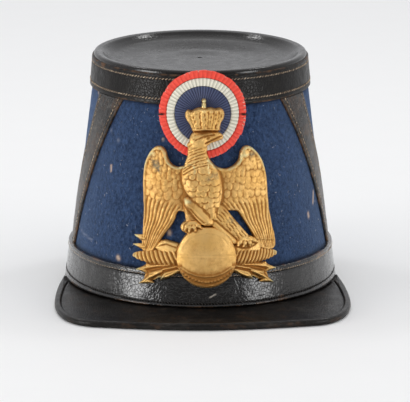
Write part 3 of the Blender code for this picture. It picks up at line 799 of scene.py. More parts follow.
def peak_corners(hidden, root, edge, width, root_top):
    """Corners of the peak's section at each column, and the height of its field."""
    rim_top = root_top + peak_border_lift
    border = np.minimum(peak_border_width, 0.4 * width) / width
    field_top = rim_top - peak_border_rise * ease(width / (4 * peak_border_width))
    field_low = np.maximum(0.0, field_top - peak_thickness)
    root_low = np.maximum(0.0, root_top - peak_thickness)
    section = (                # share from root to edge, height
        (0.0, root_top), (1.0 - 1.25 * border, field_top), (1.0 - border, rim_top),
        (1.0 - 0.25 * border, rim_top), (1.0, 0.7 * rim_top), (1.0, 0.25 * rim_top),
        (1.0 - 0.3 * border, 0.0 * border), (1.0 - border, 0.0 * border),
        (1.0 - 1.25 * border, field_low), (0.0, root_low))
    corners = [(hidden, root_top)]
    corners += [(mix(root, edge, np.reshape(share, (-1, 1))), z) for share, z in section]
    corners += [(hidden, root_low)]
    return np.array([np.column_stack([spot, z]) for spot, z in corners]), field_top


def peak_leather(material):
    """Flat leather peak with a raised, rolled border and a groove beside it."""
    edge = peak_outline()
    columns = len(edge)
    a, b = half_sizes(0.0)
    end = radians(peak_end_turn)
    turn = np.clip(np.arctan2(edge[:, 0] / a, -edge[:, 1] / b), -end, end)
    middle = np.array([0.0, cap_middle_y])
    hidden = on_cap(turn, 0.0, -cloth_thickness)[:, :2] - middle
    root = on_cap(turn, 0.0, gap + bottom_band_thickness)[:, :2] - middle
    width = np.maximum(np.linalg.norm(edge - root, axis=1), peak_least_width)
    short = np.linalg.norm(edge, axis=1) < np.linalg.norm(root, axis=1)
    outward = (root - hidden) / np.linalg.norm(root - hidden, axis=1, keepdims=True)
    edge = np.where(short[:, None], root + outward * peak_least_width, edge)
    corners, field_top = peak_corners(hidden, root, edge, width, peak_top_z(turn))
    rows = section_rows(corners, 0.5 * MM, 1.0 * MM)
    spots = rows.copy()
    share = np.linalg.norm(rows[..., :2] - root, axis=-1) / width
    inward = (1.0 - share) * width
    top_side = rows[..., 2] > 0.55 * field_top
    dents = 0.12 * soft_noise(rows, 12 * MM, 51) + 0.05 * soft_noise(rows, 3 * MM, 52)
    field = ease((inward - 1.4 * peak_border_width) / (3 * MM)) * ease(share * width / (2 * MM))
    crease = bell(inward - 1.12 * peak_border_width, 0.55 * MM)
    spots[..., 2] += np.where(top_side, (dents * field - 0.65 * crease) * MM, 0.0)
    spots[..., 1] += cap_middle_y
    spots[..., 2] = np.maximum(spots[..., 2], 0.0)
    wear = 0.4 * bell(inward, 1.0 * MM) + 0.45 * bell(inward - 4 * MM, 0.8 * MM) + 0.3 * field
    # Painted shade in the crease beside the border.
    groove_shade = top_side * 0.9 * crease
    return add_piece("peak_leather", spots, grid_faces(len(rows), columns, closed_section=True)
                     .tolist() + end_caps(len(rows), columns), material, ["peak"],
                     leather_marks(spots, wear, groove_shade))


def end_caps(rows, columns):
    """Faces over the two ends of a closed section."""
    first = [row * columns for row in range(rows)]
    return [first, [spot + columns - 1 for spot in first]]


def side_strip(name, side, node, material):
    """V of two leather arms with rounded edges, its point at the bottom band."""
    rows, columns = strip_rows, strip_columns
    share = np.linspace(0.0, 1.0, rows)[:, None]
    across = np.linspace(0.0, 1.0, columns)
    across = 0.5 - 0.5 * np.cos(pi * across)
    outer = bow(strip_outer_turns, share)
    inner = bow(strip_inner_turns, share)
    degrees = mix(outer, np.minimum(inner, side_turn), across)
    low = bottom_band_height + gap
    spots, faces, wear, groove_shade = [], [], [], []
    for half in (1, -1):
        turn = np.radians(side_turn + (degrees - side_turn) * half) * side
        z = mix(low, top_band_low_z(turn) - gap, share)
        a, b = half_sizes(z)
        span = np.hypot(a * np.cos(turn), b * np.sin(turn)) * radians(1.0)
        edge = np.minimum(degrees - outer, inner - degrees) * span
        edge = np.minimum(edge, share * height)
        top = strip_thickness * np.sqrt(1.0 - (1.0 - np.clip(edge / (0.8 * MM), 0.0, 1.0)) ** 2)
        flat = on_cap(turn, z, gap)
        seam = edge - strip_seam_inset
        lumps = 0.10 * soft_noise(flat, 3 * MM, 61) - 0.22 * bell(seam, 0.5 * MM)
        front = on_cap(turn, z, gap + top + np.where(edge > 0.8 * MM, lumps, 0.0) * MM)
        base = len(spots) * rows * columns
        spots += [front, flat]
        faces += [grid_faces(rows, columns) + base, grid_faces(rows, columns) + base
                  + rows * columns]
        wear += [bell(edge, 0.9 * MM) + 0.5, 0.0 * edge]
        # Painted shade in the seam groove.
        groove_shade += [0.5 * bell(seam, 0.45 * MM), 0.0 * edge]
    spots, wear, groove_shade = (np.stack(part) for part in (spots, wear, groove_shade))
    faces = [face for part in faces for face in part.tolist()]
    return add_piece(name, spots, faces, material, [node],
                     leather_marks(spots, wear, groove_shade), merge=0.02 * MM)


# Cockade

def rosette_ring(name, inner, outer, node, material, ragged=0.0):
    """Ring of overlapping radial pleats with a worn outer edge."""
    rows = 9
    columns = pleat_count * pleat_columns
    angle = round_turns(columns)
    phase = np.arange(columns) % pleat_columns / pleat_columns
    fold_and_shade = np.where(phase < 0.75, phase / 0.75, (1.0 - phase) / 0.25)
    pleat = np.arange(columns) // pleat_columns
    uneven = rng.normal(0.0, 1.0, pleat_count)[pleat]
    nick = (rng.random(pleat_count) < 0.45)[pleat] * bell(phase - 0.1, 0.16)
    share = np.linspace(0.0, 1.0, rows)[:, None]
    reach = outer + ragged * (0.25 * uneven - 0.6 * nick) * MM
    radius = mix(inner, reach, share)
    drop = ease((share - 0.86) / 0.14) + ease((0.10 - share) / 0.10)
    notch = notch_share(angle, radius)
    flatter = mix(1.0, 0.5, share * ragged / red_ragged)
    lift = (cockade_thickness + 0.15 * MM - 0.4 * MM * drop + 0.06 * MM * uneven
            - pleat_depth * (1.0 - fold_and_shade) * flatter - 0.9 * MM * notch)
    front = cockade_point(angle, radius, lift)
    back = cockade_point(angle, radius, 0.0 * lift)[::-1]
    spots = np.concatenate([front, back])
    worn = 1.6 * ragged * ease((share - 0.70) / 0.30) * nick
    # The fold mark gives painted shade in the pleat valleys and the notch mark painted shade in the
    # notches.
    marks = {
        "fold_and_shade": np.concatenate([fold_and_shade + 0.0 * radius, fold_and_shade + 0.0 * radius]),
        "wear": np.concatenate([worn, 0.0 * radius]),
        "groove_shade": np.concatenate([notch, 0.0 * radius])}
    return add_piece(name, spots, grid_faces(2 * rows, columns, True, True), material,
                     [node], marks, crease=50.0)


def cockade_point(angle, radius, lift):
    across = radius * np.sin(angle)
    up = cockade_middle() + rosette_rise + rosette_stretch * radius * np.cos(angle)
    return on_front(across, up, cockade_back(up) + lift)


def notch_share(angle, radius):
    """Where a thread pulls the ribbon in, at the left and the right."""
    total = 0.0
    for side, down in ((1, 0.6 * MM), (-1, 0.4 * MM)):
        across = radius * np.sin(angle) - side * (rosette_radius - 1.9 * MM)
        up = radius * np.cos(angle) + down
        total = total + bell(across, 1.9 * MM) * bell(up, 0.55 * MM)
    return total


# Eagle plate: its relief is drawn flat, in millimetres, and then bent to the cap

LEFT_WING = (                  # across, up
    (-6.0, 72.0), (-13.5, 71.6), (-15.8, 71.0), (-18.3, 71.9), (-20.4, 73.7), (-21.9, 76.8),
    (-22.8, 80.3), (-24.6, 82.3), (-26.9, 82.9), (-29.6, 81.9), (-32.2, 79.0), (-34.6, 74.4),
    (-36.3, 69.2), (-37.2, 62.0), (-37.1, 53.3), (-36.8, 46.0), (-37.3, 37.0), (-38.0, 28.0),
    (-38.4, 21.0), (-34.0, 19.6), (-30.0, 21.6), (-26.2, 28.0), (-23.5, 31.8), (-20.5, 35.6),
    (-18.3, 39.4), (-16.9, 43.4), (-14.9, 44.9), (-7.0, 45.4))
RIGHT_WING = (                 # across, up
    (0.0, 75.6), (2.5, 74.9), (5.0, 72.1), (7.6, 70.6), (10.1, 70.0), (12.9, 70.4), (15.9, 72.0),
    (18.3, 74.9), (19.1, 78.4), (20.3, 81.5), (22.5, 82.8), (24.9, 82.5), (28.0, 80.1),
    (30.9, 76.4), (33.3, 72.0), (35.3, 66.6), (36.3, 61.0), (36.9, 53.0), (37.8, 45.0),
    (39.2, 38.4), (40.6, 32.2), (41.9, 26.8), (42.0, 21.4), (38.0, 19.6), (31.7, 21.8),
    (28.9, 26.7), (26.2, 31.6), (23.7, 35.7), (21.0, 40.0), (18.7, 43.6), (16.9, 44.7),
    (12.7, 45.1), (4.0, 45.6))
FAN = (                        # up, inner and outer edge of the long feathers
    (20.0, 31.0, 39.4), (28.0, 26.4, 38.8), (36.0, 20.6, 37.8), (44.0, 16.2, 37.2),
    (54.0, 9.0, 37.0))
FEATHER_LEVELS = (47.6, 51.8, 56.0, 60.2, 64.0, 67.5, 70.8, 73.8, 76.6, 79.2)
fan_feathers = 9.5
wing_middle = 25.0
BODY = (                       # across, up
    (-9.8, 86.0), (-10.2, 82.0), (-10.6, 78.0), (-12.1, 73.4), (-13.6, 68.5), (-13.7, 64.0),
    (-12.9, 60.2), (-11.4, 56.5), (-8.6, 52.6), (-4.0, 47.6), (0.3, 42.6), (2.6, 38.2),
    (5.4, 38.4), (6.2, 43.0), (7.2, 48.0), (8.4, 53.0), (8.7, 58.0), (8.3, 62.8), (7.3, 67.4),
    (5.0, 71.6), (2.4, 75.2), (0.8, 78.4), (0.0, 81.0), (-0.2, 85.0))
LEFT_THIGH = (                 # across, up
    (-12.3, 51.0), (-12.0, 53.2), (-9.8, 53.6), (-5.1, 50.0), (0.5, 45.0), (3.0, 41.4),
    (3.7, 38.8), (2.4, 37.1), (0.1, 36.9), (-3.0, 37.7), (-6.8, 42.6), (-9.2, 45.6),
    (-11.8, 48.4))
LEFT_SHANK = (                 # across, up
    (-12.9, 50.0), (-12.6, 44.6), (-12.0, 40.2), (-11.9, 36.6), (-6.6, 36.8), (-3.6, 38.6),
    (-7.4, 44.4))
RIGHT_LEG = (                  # across, up
    (5.8, 50.2), (9.2, 48.2), (12.6, 44.5), (15.9, 40.3), (21.2, 33.7), (24.8, 29.2),
    (26.6, 26.4), (24.4, 24.4), (19.6, 26.0), (16.4, 29.0), (12.0, 33.2), (7.6, 37.0),
    (4.4, 40.4), (4.6, 46.2))
HEAD = (                       # across, up: brow, beak, throat and the back of the head
    (-4.8, 93.0), (-6.9, 90.8), (-8.3, 88.9), (-9.3, 86.0), (-9.9, 83.2), (-9.6, 80.0),
    (-3.0, 79.0), (0.4, 81.0), (0.5, 83.8), (2.2, 85.4), (4.3, 86.2), (6.8, 87.0), (8.3, 87.6),
    (9.2, 88.6), (9.0, 90.2), (7.6, 91.6), (5.6, 92.5), (1.0, 93.4))
CROWN = (                      # across, up
    (-6.9, 92.3), (-8.3, 94.8), (-9.3, 97.0), (-10.7, 99.0), (-11.5, 101.1), (-11.5, 103.4),
    (-10.5, 104.6), (-9.2, 105.0), (-7.9, 104.7), (-5.8, 106.0), (-3.2, 106.6), (0.0, 106.3),
    (1.8, 106.6), (3.4, 106.3), (5.0, 105.9), (6.6, 106.3), (8.3, 105.8), (9.5, 104.3),
    (9.7, 101.8), (9.1, 99.4), (8.0, 97.6), (7.5, 95.2), (6.9, 92.6), (0.0, 92.9))
CROWN_LOBES = (-1.0, -0.70, -0.24, 0.17, 0.43, 0.66, 1.0)    # their borders, over its half width
CROWN_PITS = (                 # across, up
    (-6.0, 104.4), (-1.0, 102.9), (4.7, 103.0), (4.6, 100.6), (-3.2, 97.7), (1.8, 98.4),
    (-6.0, 98.6), (6.2, 98.5), (-0.8, 100.0), (-0.6, 96.8), (1.2, 95.4), (-6.8, 101.4),
    (-3.6, 101.6), (2.2, 101.8), (-4.6, 95.6), (4.6, 96.2), (7.4, 102.0))
BOLTS = (                      # across, up: the bolts on the left, which the right ones mirror
    ((-19.0, 14.6), (-25.1, 13.9), (-31.6, 13.3), (-34.5, 13.6), (-34.9, 12.1), (-41.3, 8.9),
     (-36.0, 7.8), (-33.2, 7.3), (-33.6, 9.3), (-28.1, 11.5), (-19.0, 12.6)),
    ((-13.0, 14.9), (-17.0, 13.9), (-24.6, 11.8), (-24.8, 11.0), (-32.8, 9.0), (-33.0, 7.2),
     (-35.0, 4.9), (-39.5, 0.5), (-34.3, 1.1), (-29.9, 2.1), (-31.3, 3.6), (-28.2, 6.0),
     (-24.4, 8.2), (-24.0, 9.8), (-16.7, 11.8), (-13.0, 12.4)),
    ((-12.0, 12.9), (-16.7, 12.1), (-23.4, 9.7), (-25.3, 7.7), (-26.1, 3.7), (-22.2, 5.4),
     (-17.6, 7.8), (-15.1, 9.4), (-11.0, 9.8)))
BOLT_BED = (                   # across, up: the low metal between the bolts of one side
    (-12.0, 16.0), (-30.0, 14.2), (-36.0, 12.0), (-34.6, 8.6), (-36.0, 4.2), (-29.6, 3.6),
    (-26.8, 5.4), (-22.0, 6.6), (-11.0, 10.2))
BOLT_RIDGES = (                # across, up, for the left side too
    ((-21.0, 13.6), (-33.4, 11.4), (-40.6, 8.9)), ((-15.0, 13.3), (-23.9, 10.9), (-32.0, 7.7)),
    ((-25.0, 9.6), (-32.0, 5.6), (-38.6, 1.1)), ((-14.6, 11.4), (-23.2, 8.6), (-25.6, 4.4)),
    ((-15.4, 10.3), (-22.0, 6.6)))
SPIKES = (                     # across, up, for the left side only
    ((-34.0, 29.8), (-43.9, 28.6), (-39.0, 25.6), (-34.0, 25.0)),
    ((-34.0, 24.9), (-44.8, 22.9), (-38.6, 20.6), (-34.0, 20.6)))
LEFT_LEAF = (                  # across, up
    (-29.6, 22.0), (-28.4, 24.8), (-26.4, 27.0), (-23.2, 27.6), (-21.0, 27.1), (-18.2, 26.5),
    (-15.6, 25.6), (-13.4, 22.0), (-21.0, 19.0))
RIGHT_LEAF = (                 # across, up
    (15.0, 20.0), (15.6, 25.4), (19.4, 27.0), (25.0, 26.6), (30.6, 26.8), (32.2, 23.4),
    (30.0, 19.6))
CLAWS = (                      # across, up: foot, knuckle and tip of each toe
    ((-8.6, 38.8), (-10.9, 37.0), (-12.0, 34.4)), ((-8.4, 38.8), (-9.2, 36.4), (-9.6, 33.6)),
    ((-7.4, 38.8), (-6.8, 36.6), (-6.3, 34.3)), ((-6.4, 38.8), (-4.5, 37.6), (-3.0, 36.0)),
    ((19.8, 28.8), (18.2, 27.0), (17.2, 24.8)), ((20.8, 28.4), (20.8, 26.2), (20.2, 24.0)),
    ((22.4, 27.8), (23.6, 26.2), (24.0, 24.0)), ((23.4, 28.2), (26.4, 27.4), (28.6, 25.8)))
CHEST_ROWS = (                 # height, reach to either side
    (40.0, 3.0), (43.4, 4.0), (46.8, 6.0), (50.2, 8.0), (53.6, 9.8), (57.0, 10.8),
    (60.4, 11.4), (63.8, 11.4), (67.0, 11.0), (70.0, 10.4))
THIGH_LINES = (                # points, half width, height
    (((-8.6, 46.6), (-5.0, 42.2), (-1.4, 38.9)), 0.45, -0.9),
    (((-10.6, 49.6), (-4.6, 45.4), (0.6, 39.8)), 0.7, 0.3),
    (((-2.0, 46.2), (1.2, 42.4), (2.4, 39.4)), 0.4, -0.35))
HEAD_LINES = (                 # points, half width, height: brow, beak and throat
    (((-8.0, 89.0), (-4.0, 90.5), (1.2, 91.5), (5.8, 91.8)), 0.55, 0.75),
    (((-5.7, 88.0), (-2.4, 89.4), (0.6, 90.3), (4.0, 90.9)), 0.38, -0.7),
    (((1.4, 88.4), (4.4, 90.1), (7.8, 91.0)), 0.55, 0.7),
    (((-0.6, 85.9), (2.1, 87.0), (4.3, 88.3), (6.6, 89.5), (8.6, 89.9)), 0.36, -1.2),
    (((0.6, 85.2), (4.2, 87.1), (7.6, 88.5)), 0.50, 0.6))
LEAF_LINES = (                 # points, half width, height
    (((-27.0, 24.0), (-22.6, 25.2), (-17.4, 23.6)), 0.5, -0.5),
    (((-25.6, 25.6), (-21.6, 26.2), (-17.2, 25.0)), 0.5, 0.35))
GLOBE_LINES = (                # points, half width, height: belt, arc, low arc and high arc
    (((-15.4, 19.8), (0.0, 19.3), (15.2, 19.4)), 0.45, 0.16),
    (((-13.8, 13.2), (-9.9, 10.4), (-5.4, 8.6), (-0.8, 8.0), (3.9, 8.4), (8.3, 9.9),
      (12.9, 12.8)), 0.45, 0.45),
    (((-11.9, 6.9), (-6.4, 3.2), (-0.4, 2.0), (5.6, 3.1), (11.2, 6.6)), 0.40, 0.35),
    (((-14.6, 22.0), (-13.2, 25.4), (-9.6, 30.0), (-5.0, 32.6), (0.0, 33.6), (5.0, 32.6),
      (9.6, 30.0), (13.2, 25.4), (14.6, 22.0)), 0.30, 0.22))
BIRD_STAINS = (                # middle, radius, amount
    ((-27.6, 71.5), 3.0, 0.9), ((-26.0, 68.0), 2.0, 0.6), ((25.5, 78.0), 2.6, 0.7),
    ((4.5, 66.5), 2.6, 0.75), ((1.0, 64.8), 1.8, 0.5), ((-30.0, 75.0), 2.4, 0.5),
    ((13.0, 40.0), 2.6, 0.6), ((-9.0, 51.0), 1.8, 0.4))
BIRD_WEAR = (                  # middle, radius, amount
    ((-1.2, 110.0), 3.6, 1.0), ((-43.0, 28.4), 2.6, 1.0), ((-43.5, 22.8), 2.6, 1.0),
    ((21.6, 78.4), 2.2, 1.0), ((-30.5, 79.0), 2.0, 1.0), ((-11.0, 51.8), 1.8, 1.0))
# Painted shade where the thigh meets the shank and the body, and under the crown.
BIRD_SHADE = (                 # middle, radius, amount
    ((-10.0, 42.0), 3.2, 0.5), ((0.0, 50.0), 5.0, 0.22), ((-1.0, 91.8), 2.8, 0.6))
GLOBE_BROWN = (                # middle, radius, amount
    ((-7.0, 24.0), 5.5, 0.22), ((6.5, 15.0), 6.5, 0.26), ((-4.0, 12.5), 4.5, 0.22),
    ((8.5, 27.0), 4.0, 0.18))
BOLT_WEAR = (                  # middle, radius, amount
    ((-40.4, 8.6), 2.6, 1.0), ((-38.6, 1.0), 2.6, 1.0), ((40.4, 8.4), 2.6, 1.0),
    ((38.6, 1.0), 2.6, 1.0), ((-43.2, 16.8), 2.6, 1.0), ((42.4, 17.4), 2.6, 1.0),
    ((-26.0, 4.4), 2.6, 1.0), ((25.6, 4.6), 2.6, 1.0))
eye = (1.0, 88.9)
crown_middle = -0.9
spindle_half = 4.75
globe_middle = (-0.15, 18.6)
globe_half = (16.5, 17.9)


def curve_loop(points):
    """Closed smooth curve through a few points."""
    knots = np.array(points)
    share = (np.arange(outline_steps) / outline_steps)[:, None]
    count = len(knots)
    return np.concatenate([through(*(knots[(i + k) % count] for k in (-1, 0, 1, 2)), share)
                           for i in range(count)])


def blurred(values, cells):
    reach = ceil(3 * cells)
    weights = np.exp(-0.5 * (np.arange(-reach, reach + 1) / cells) ** 2)
    weights /= weights.sum()
    padded = np.pad(values, reach, mode="edge")
    for axis in (0, 1):
        padded = np.apply_along_axis(np.convolve, axis, padded, weights, "same")
    return padded[reach:-reach, reach:-reach]


class Relief:
    """Height of a cast plate over its flat back, and the distance inside its outline."""

    def __init__(self, low, high, step):
        self.step = step
        self.u, self.v = np.meshgrid(np.arange(low[0], high[0], step),
                                     np.arange(low[1], high[1], step))
        self.height = np.zeros(self.u.shape)
        self.depth = np.full(self.u.shape, -5.0)
        self.stain = np.zeros(self.u.shape)
        self.wear = np.zeros(self.u.shape)
        # Extra darkening for the hollow mark: tarnish, with painted shade on some parts and painted
        # light on the chest.
        self.tarnish_and_painted_shade = np.zeros(self.u.shape)

    def window(self, points, margin):
        """Rows and columns of the grid round some points."""
        points = np.array(points)
        low, high = points.min(axis=0) - margin, points.max(axis=0) + margin
        return (slice(*np.searchsorted(self.v[:, 0], (low[1], high[1]))),
                slice(*np.searchsorted(self.u[0], (low[0], high[0]))))

    def add(self, part, height, depth):
        """Keeps the higher of what lies there and a new form, and widens the outline."""
        now = self.height[part]
        self.height[part] = np.where(depth > 0, np.maximum(now, height), now)
        self.depth[part] = np.maximum(self.depth[part], depth)

    def line_distance(self, points, part):
        """Distance from a line through points."""
        u, v = self.u[part], self.v[part]
        nearest = np.full(u.shape, np.inf)
        for (x0, y0), (x1, y1) in zip(points, points[1:]):
            dx, dy = x1 - x0, y1 - y0
            share = np.clip(((u - x0) * dx + (v - y0) * dy) / (dx * dx + dy * dy + 1e-12), 0, 1)
            nearest = np.minimum(nearest, np.hypot(u - x0 - share * dx, v - y0 - share * dy))
        return nearest

    def loop_depth(self, loop, part):
        """Distance inside a closed loop, negative outside it."""
        u, v = self.u[part], self.v[part]
        loop = [tuple(spot) for spot in loop]
        nearest = self.line_distance(loop + loop[:1], part)
        inside = np.zeros(u.shape, bool)
        for (x0, y0), (x1, y1) in zip(loop, loop[1:] + loop[:1]):
            if y0 != y1:
                inside ^= ((y0 > v) != (y1 > v)) & (u < (x1 - x0) * (v - y0) / (y1 - y0) + x0)
        return np.where(inside, nearest, -nearest)

    def plate(self, loop, base, rise, edge, soften=0.0):
        """Form with a rounded edge, its middle ridge softened."""
        part = self.window(loop, 1.0)
        depth = self.loop_depth(loop, part)
        smooth = np.maximum(depth, 0.0)
        if soften:
            smooth = blurred(smooth, soften / self.step)
        rounded = np.sqrt(1.0 - (1.0 - np.clip(smooth / edge, 0.0, 1.0)) ** 2)
        self.add(part, base + rise * rounded, depth)
        return part, depth

    def chiselled(self, loop, base, slope, most):
        """Form whose faces rise steeply to a flat or a ridge."""
        part = self.window(loop, 1.0)
        depth = self.loop_depth(loop, part)
        self.add(part, base + np.minimum(slope * np.maximum(depth, 0.0), most), depth)

    def dome(self, middle, half, base, rise):
        part = self.window([middle], max(half) + 1.0)
        radius = np.hypot((self.u[part] - middle[0]) / half[0],
                          (self.v[part] - middle[1]) / half[1])
        height = base + rise * np.sqrt(np.maximum(1.0 - radius ** 2, 0.0))
        self.add(part, height, (1.0 - radius) * min(half))

    def bar(self, start, end, halves, base, rise):
        """Round bar between two points, from one half width to another."""
        part = self.window([start, end], max(halves) + 1.0)
        start, end = np.array(start), np.array(end)
        along = end - start
        u, v = self.u[part] - start[0], self.v[part] - start[1]
        share = np.clip((u * along[0] + v * along[1]) / along.dot(along), 0.0, 1.0)
        away = np.hypot(u - share * along[0], v - share * along[1])
        half = mix(halves[0], halves[1], share)
        height = base + rise * np.sqrt(np.maximum(1.0 - (away / half) ** 2, 0.0))
        self.add(part, height, half - away)

    def stroke(self, points, half, amount, within=None):
        """Raised line, or a groove where the amount is negative."""
        part = self.window(points, 3.0 * half)
        change = amount * bell(self.line_distance(points, part), half)
        if within is not None:
            change = change * ease(within[part] / half)
        self.height[part] = np.maximum(self.height[part] + change, 0.4)

    def feather(self, root, tip, half, ground, rise, within, point):
        """Blade that lies on the ground at its root and stands off it at its rounded tip."""
        part = self.window([root, tip], half + 1.0)
        root, tip = np.array(root), np.array(tip)
        length = np.linalg.norm(tip - root)
        along = (tip - root) / length
        u, v = self.u[part] - root[0], self.v[part] - root[1]
        run = u * along[0] + v * along[1]
        across = v * along[0] - u * along[1]
        past = np.maximum(run - (length - half * point), 0.0) / point
        inside = half - np.hypot(0.82 * across, past)
        lift = mix(0.05, 1.0, np.clip(run / length, 0.0, 1.0)) * rise
        arch = 1.0 - 0.55 * np.clip(across / half, -1.0, 1.0) ** 2
        height = ground[part] + lift * arch * ease(inside / feather_edge)
        room = np.minimum(inside, half - np.abs(across))
        self.add(part, height, np.minimum(np.minimum(room, run), within[part]))

    def bead(self, middle, radius, rise):
        """Small dome on top of what lies there."""
        part = self.window([middle], radius + 0.5)
        away = np.hypot(self.u[part] - middle[0], self.v[part] - middle[1]) / radius
        level = self.height[part][tuple(size // 2 for size in away.shape)]
        height = level - 0.1 + rise * np.sqrt(np.maximum(1.0 - away ** 2, 0.0))
        self.add(part, np.where(away < 1.0, height, 0.0), (1.0 - away) * radius)

    def spots(self, layer, table):
        """Soft round patches, each a middle, a radius and an amount."""
        for middle, radius, amount in table:
            layer += amount * bell(np.hypot(self.u - middle[0], self.v - middle[1]), radius)

    def strokes(self, lines, within=None):
        for points, half, amount in lines:
            self.stroke(points, half, amount, within)

    def plate_faces(self, inside, kept):
        """Faces in front, behind and round the sides, and the points that they use."""
        cells = grid_faces(*kept.shape)
        held = kept.ravel()[cells]
        solid = inside.ravel()[cells].any(axis=1)
        quads = cells[held.all(axis=1) & solid]
        threes = (held.sum(axis=1) == 3) & solid
        corners = cells[threes][held[threes]].reshape(-1, 3)
        front = quads.tolist() + corners.tolist()
        starts = np.concatenate([quads.ravel(), corners.ravel()])
        ends = np.concatenate([np.roll(quads, -1, axis=1).ravel(),
                               np.roll(corners, -1, axis=1).ravel()])
        total = kept.size
        lone = ~np.isin(starts * total + ends, ends * total + starts)
        walls = np.stack([ends[lone], starts[lone], starts[lone] + total, ends[lone] + total], 1)
        back = [[corner + total for corner in reversed(face)] for face in front]
        faces = front + back + walls.tolist()
        used = np.unique(np.concatenate([starts, starts + total]))
        order = np.full(2 * total, -1)
        order[used] = np.arange(len(used))
        return [[int(order[corner]) for corner in face] for face in faces], used

    def marks(self, high):
        """Tarnish mixed with painted shade in the hollows, stains, and a rubbed look on the edges
        that is partly wear and partly a painted highlight on the ridges.
        """
        # Painted shade with tarnish: how far the blurred height stands above the height, strongest
        # under the tips of feathers.
        fine = (blurred(high, fine_hollow / self.step) - high) / fine_hollow_depth
        broad = (blurred(high, broad_hollow / self.step) - high) / broad_hollow_depth
        hollow_shade_and_tarnish = 0.85 * np.clip(fine, 0, 1) + 0.6 * np.clip(broad, 0, 1) + self.tarnish_and_painted_shade
        # Where fine is below zero, on the ridges, the rubbed colour is partly a painted highlight.
        return {"hollow_tarnish_and_shade": np.clip(hollow_shade_and_tarnish, 0, 1), "stain": np.clip(self.stain, 0, 1),
                "wear": np.clip(self.wear + 0.35 * np.clip(-fine, 0, 1), 0, 1)}

    def finish(self, name, material, replaced):
        """Mesh with its outline drawn smooth, a flat back and its marks."""
        slope_v, slope_u = np.gradient(self.depth, self.step)
        steep = np.maximum(slope_u ** 2 + slope_v ** 2, 0.25)
        inside = self.depth >= 0.0
        snapped = ~inside & (self.depth > -0.95 * self.step)
        shift = np.where(snapped, -self.depth / steep, 0.0)
        u, v = self.u + slope_u * shift, self.v + slope_v * shift
        faces, used = self.plate_faces(inside, inside | snapped)
        cast = np.maximum(blurred(self.height, cast_softness / self.step), plate_rim)
        high = np.where(inside, cast, plate_rim)
        up = plate_foot + v * MM
        lifted = [on_front(plate_shift + u * MM, up, plate_back(up) + level * MM)
                  for level in (high, 0.0 * high)]
        spots = np.stack(lifted).reshape(-1, 3)[used]
        marks = {mark: np.concatenate([value.ravel(), 0.0 * value.ravel()])[used]
                 for mark, value in self.marks(high).items()}
        return add_piece(name, spots, faces, material, replaced, marks, crease=75.0)


def wing(relief, outline, side, slope):
    """Wing with a smooth rim, slanting rows of small feathers and a fan of long ones."""
    part, depth = relief.plate(curve_loop(outline), base=0.9, rise=0.9, edge=1.1)
    u, v = side * relief.u[part], relief.v[part]
    # Painted shade: the whole wing is darkened, the left one more, to tone down the light that falls
    # on it.
    relief.tarnish_and_painted_shade[part] += np.where(depth > 0, 0.26 - 0.06 * side, 0.0)
    shoulder = np.hypot(u - 26, (v - 70) * 0.6)
    relief.height[part] += np.where(depth > 0, 1.1 * bell(shoulder, 13.0), 0.0)
    relief.height[part] += np.where(depth > 0.3, long_feathers(u, v, slope), 0.0)
    within = np.full(relief.u.shape, -5.0)
    within[part] = depth
    small_feathers(relief, side, slope, within)
    rim = ease((u - 9.0) / 6.0) * ease((v - 40.0) / 12.0) * (depth > 0)
    relief.height[part] += 0.45 * rim * bell(depth - 1.0, 0.75)
    relief.wear[part] += 0.8 * bell(depth - 0.6, 0.6) * ease((v - 64.0) / 6.0) * (depth > 0)


def long_feathers(u, v, slope):
    """Height of the long feathers, which spread from the wing's inner edge to its outer one."""
    up, inner, outer = np.array(FAN).T
    inner, outer = np.interp(v, up, inner), np.interp(v, up, outer)
    fan = fan_feathers * (outer - u) / (outer - inner) + 0.10 * np.sin(v / 2.3)
    ridge = 1.0 - np.abs(2.0 * (fan % 1.0) - 1.0) ** 2.0
    uneven = 0.18 * np.sin(2.4 * np.floor(fan) + 1.0)
    long_part = ease((52.0 - v + 0.45 * (slope * (u - wing_middle))) / 3.0)
    return long_part * ((0.50 + uneven) * ridge - 0.2)


def small_feathers(relief, side, slope, within):
    """Slanting rows of feathers that grow smaller towards the shoulder."""
    ground = relief.height.copy()
    for number, level in enumerate(FEATHER_LEVELS):
        half = mix(1.95, 1.15, ease((level - 52.0) / 26.0))
        for place in np.arange(7.0 + half * (number % 2), 36.6, 1.75 * half):
            across = side * place + 0.3 * rng.normal()
            up = level + slope * (place - wing_middle) + 0.45 * rng.normal()
            lean = side * 0.007 * (34.0 - place) + 0.06 * rng.normal()
            length = 3.4 * half
            inside = within[relief.window([(across, up)], relief.step)].min()
            if inside > 1.4:
                relief.feather((across - lean * length, up + length), (across, up),
                               half * rng.uniform(0.85, 1.15), ground,
                               0.50 * rng.uniform(0.4, 1.2), within - 0.9, point=2.0)


def scales(relief, rows, half, length, spread, rise, within, point, middle=-2.0):
    """Staggered rows of feathers, each row a height and its reach to the left and the right."""
    ground = relief.height.copy()
    for number, (level, left, right) in enumerate(rows):
        for place in np.arange(left + half * (number % 2), right, 1.8 * half):
            across = place + 0.22 * half * rng.normal()
            up = level + 0.22 * half * rng.normal()
            lean = spread * (across - middle)
            relief.feather((across - lean * length, up + length), (across, up),
                           half * rng.uniform(0.9, 1.12), ground, rise * rng.uniform(0.75, 1.1),
                           within, point=point)


def depth_of(relief, loop):
    """Distance inside a loop, over the whole grid."""
    within = np.full(relief.u.shape, -5.0)
    part = relief.window(loop, 1.0)
    within[part] = relief.loop_depth(loop, part)
    return within


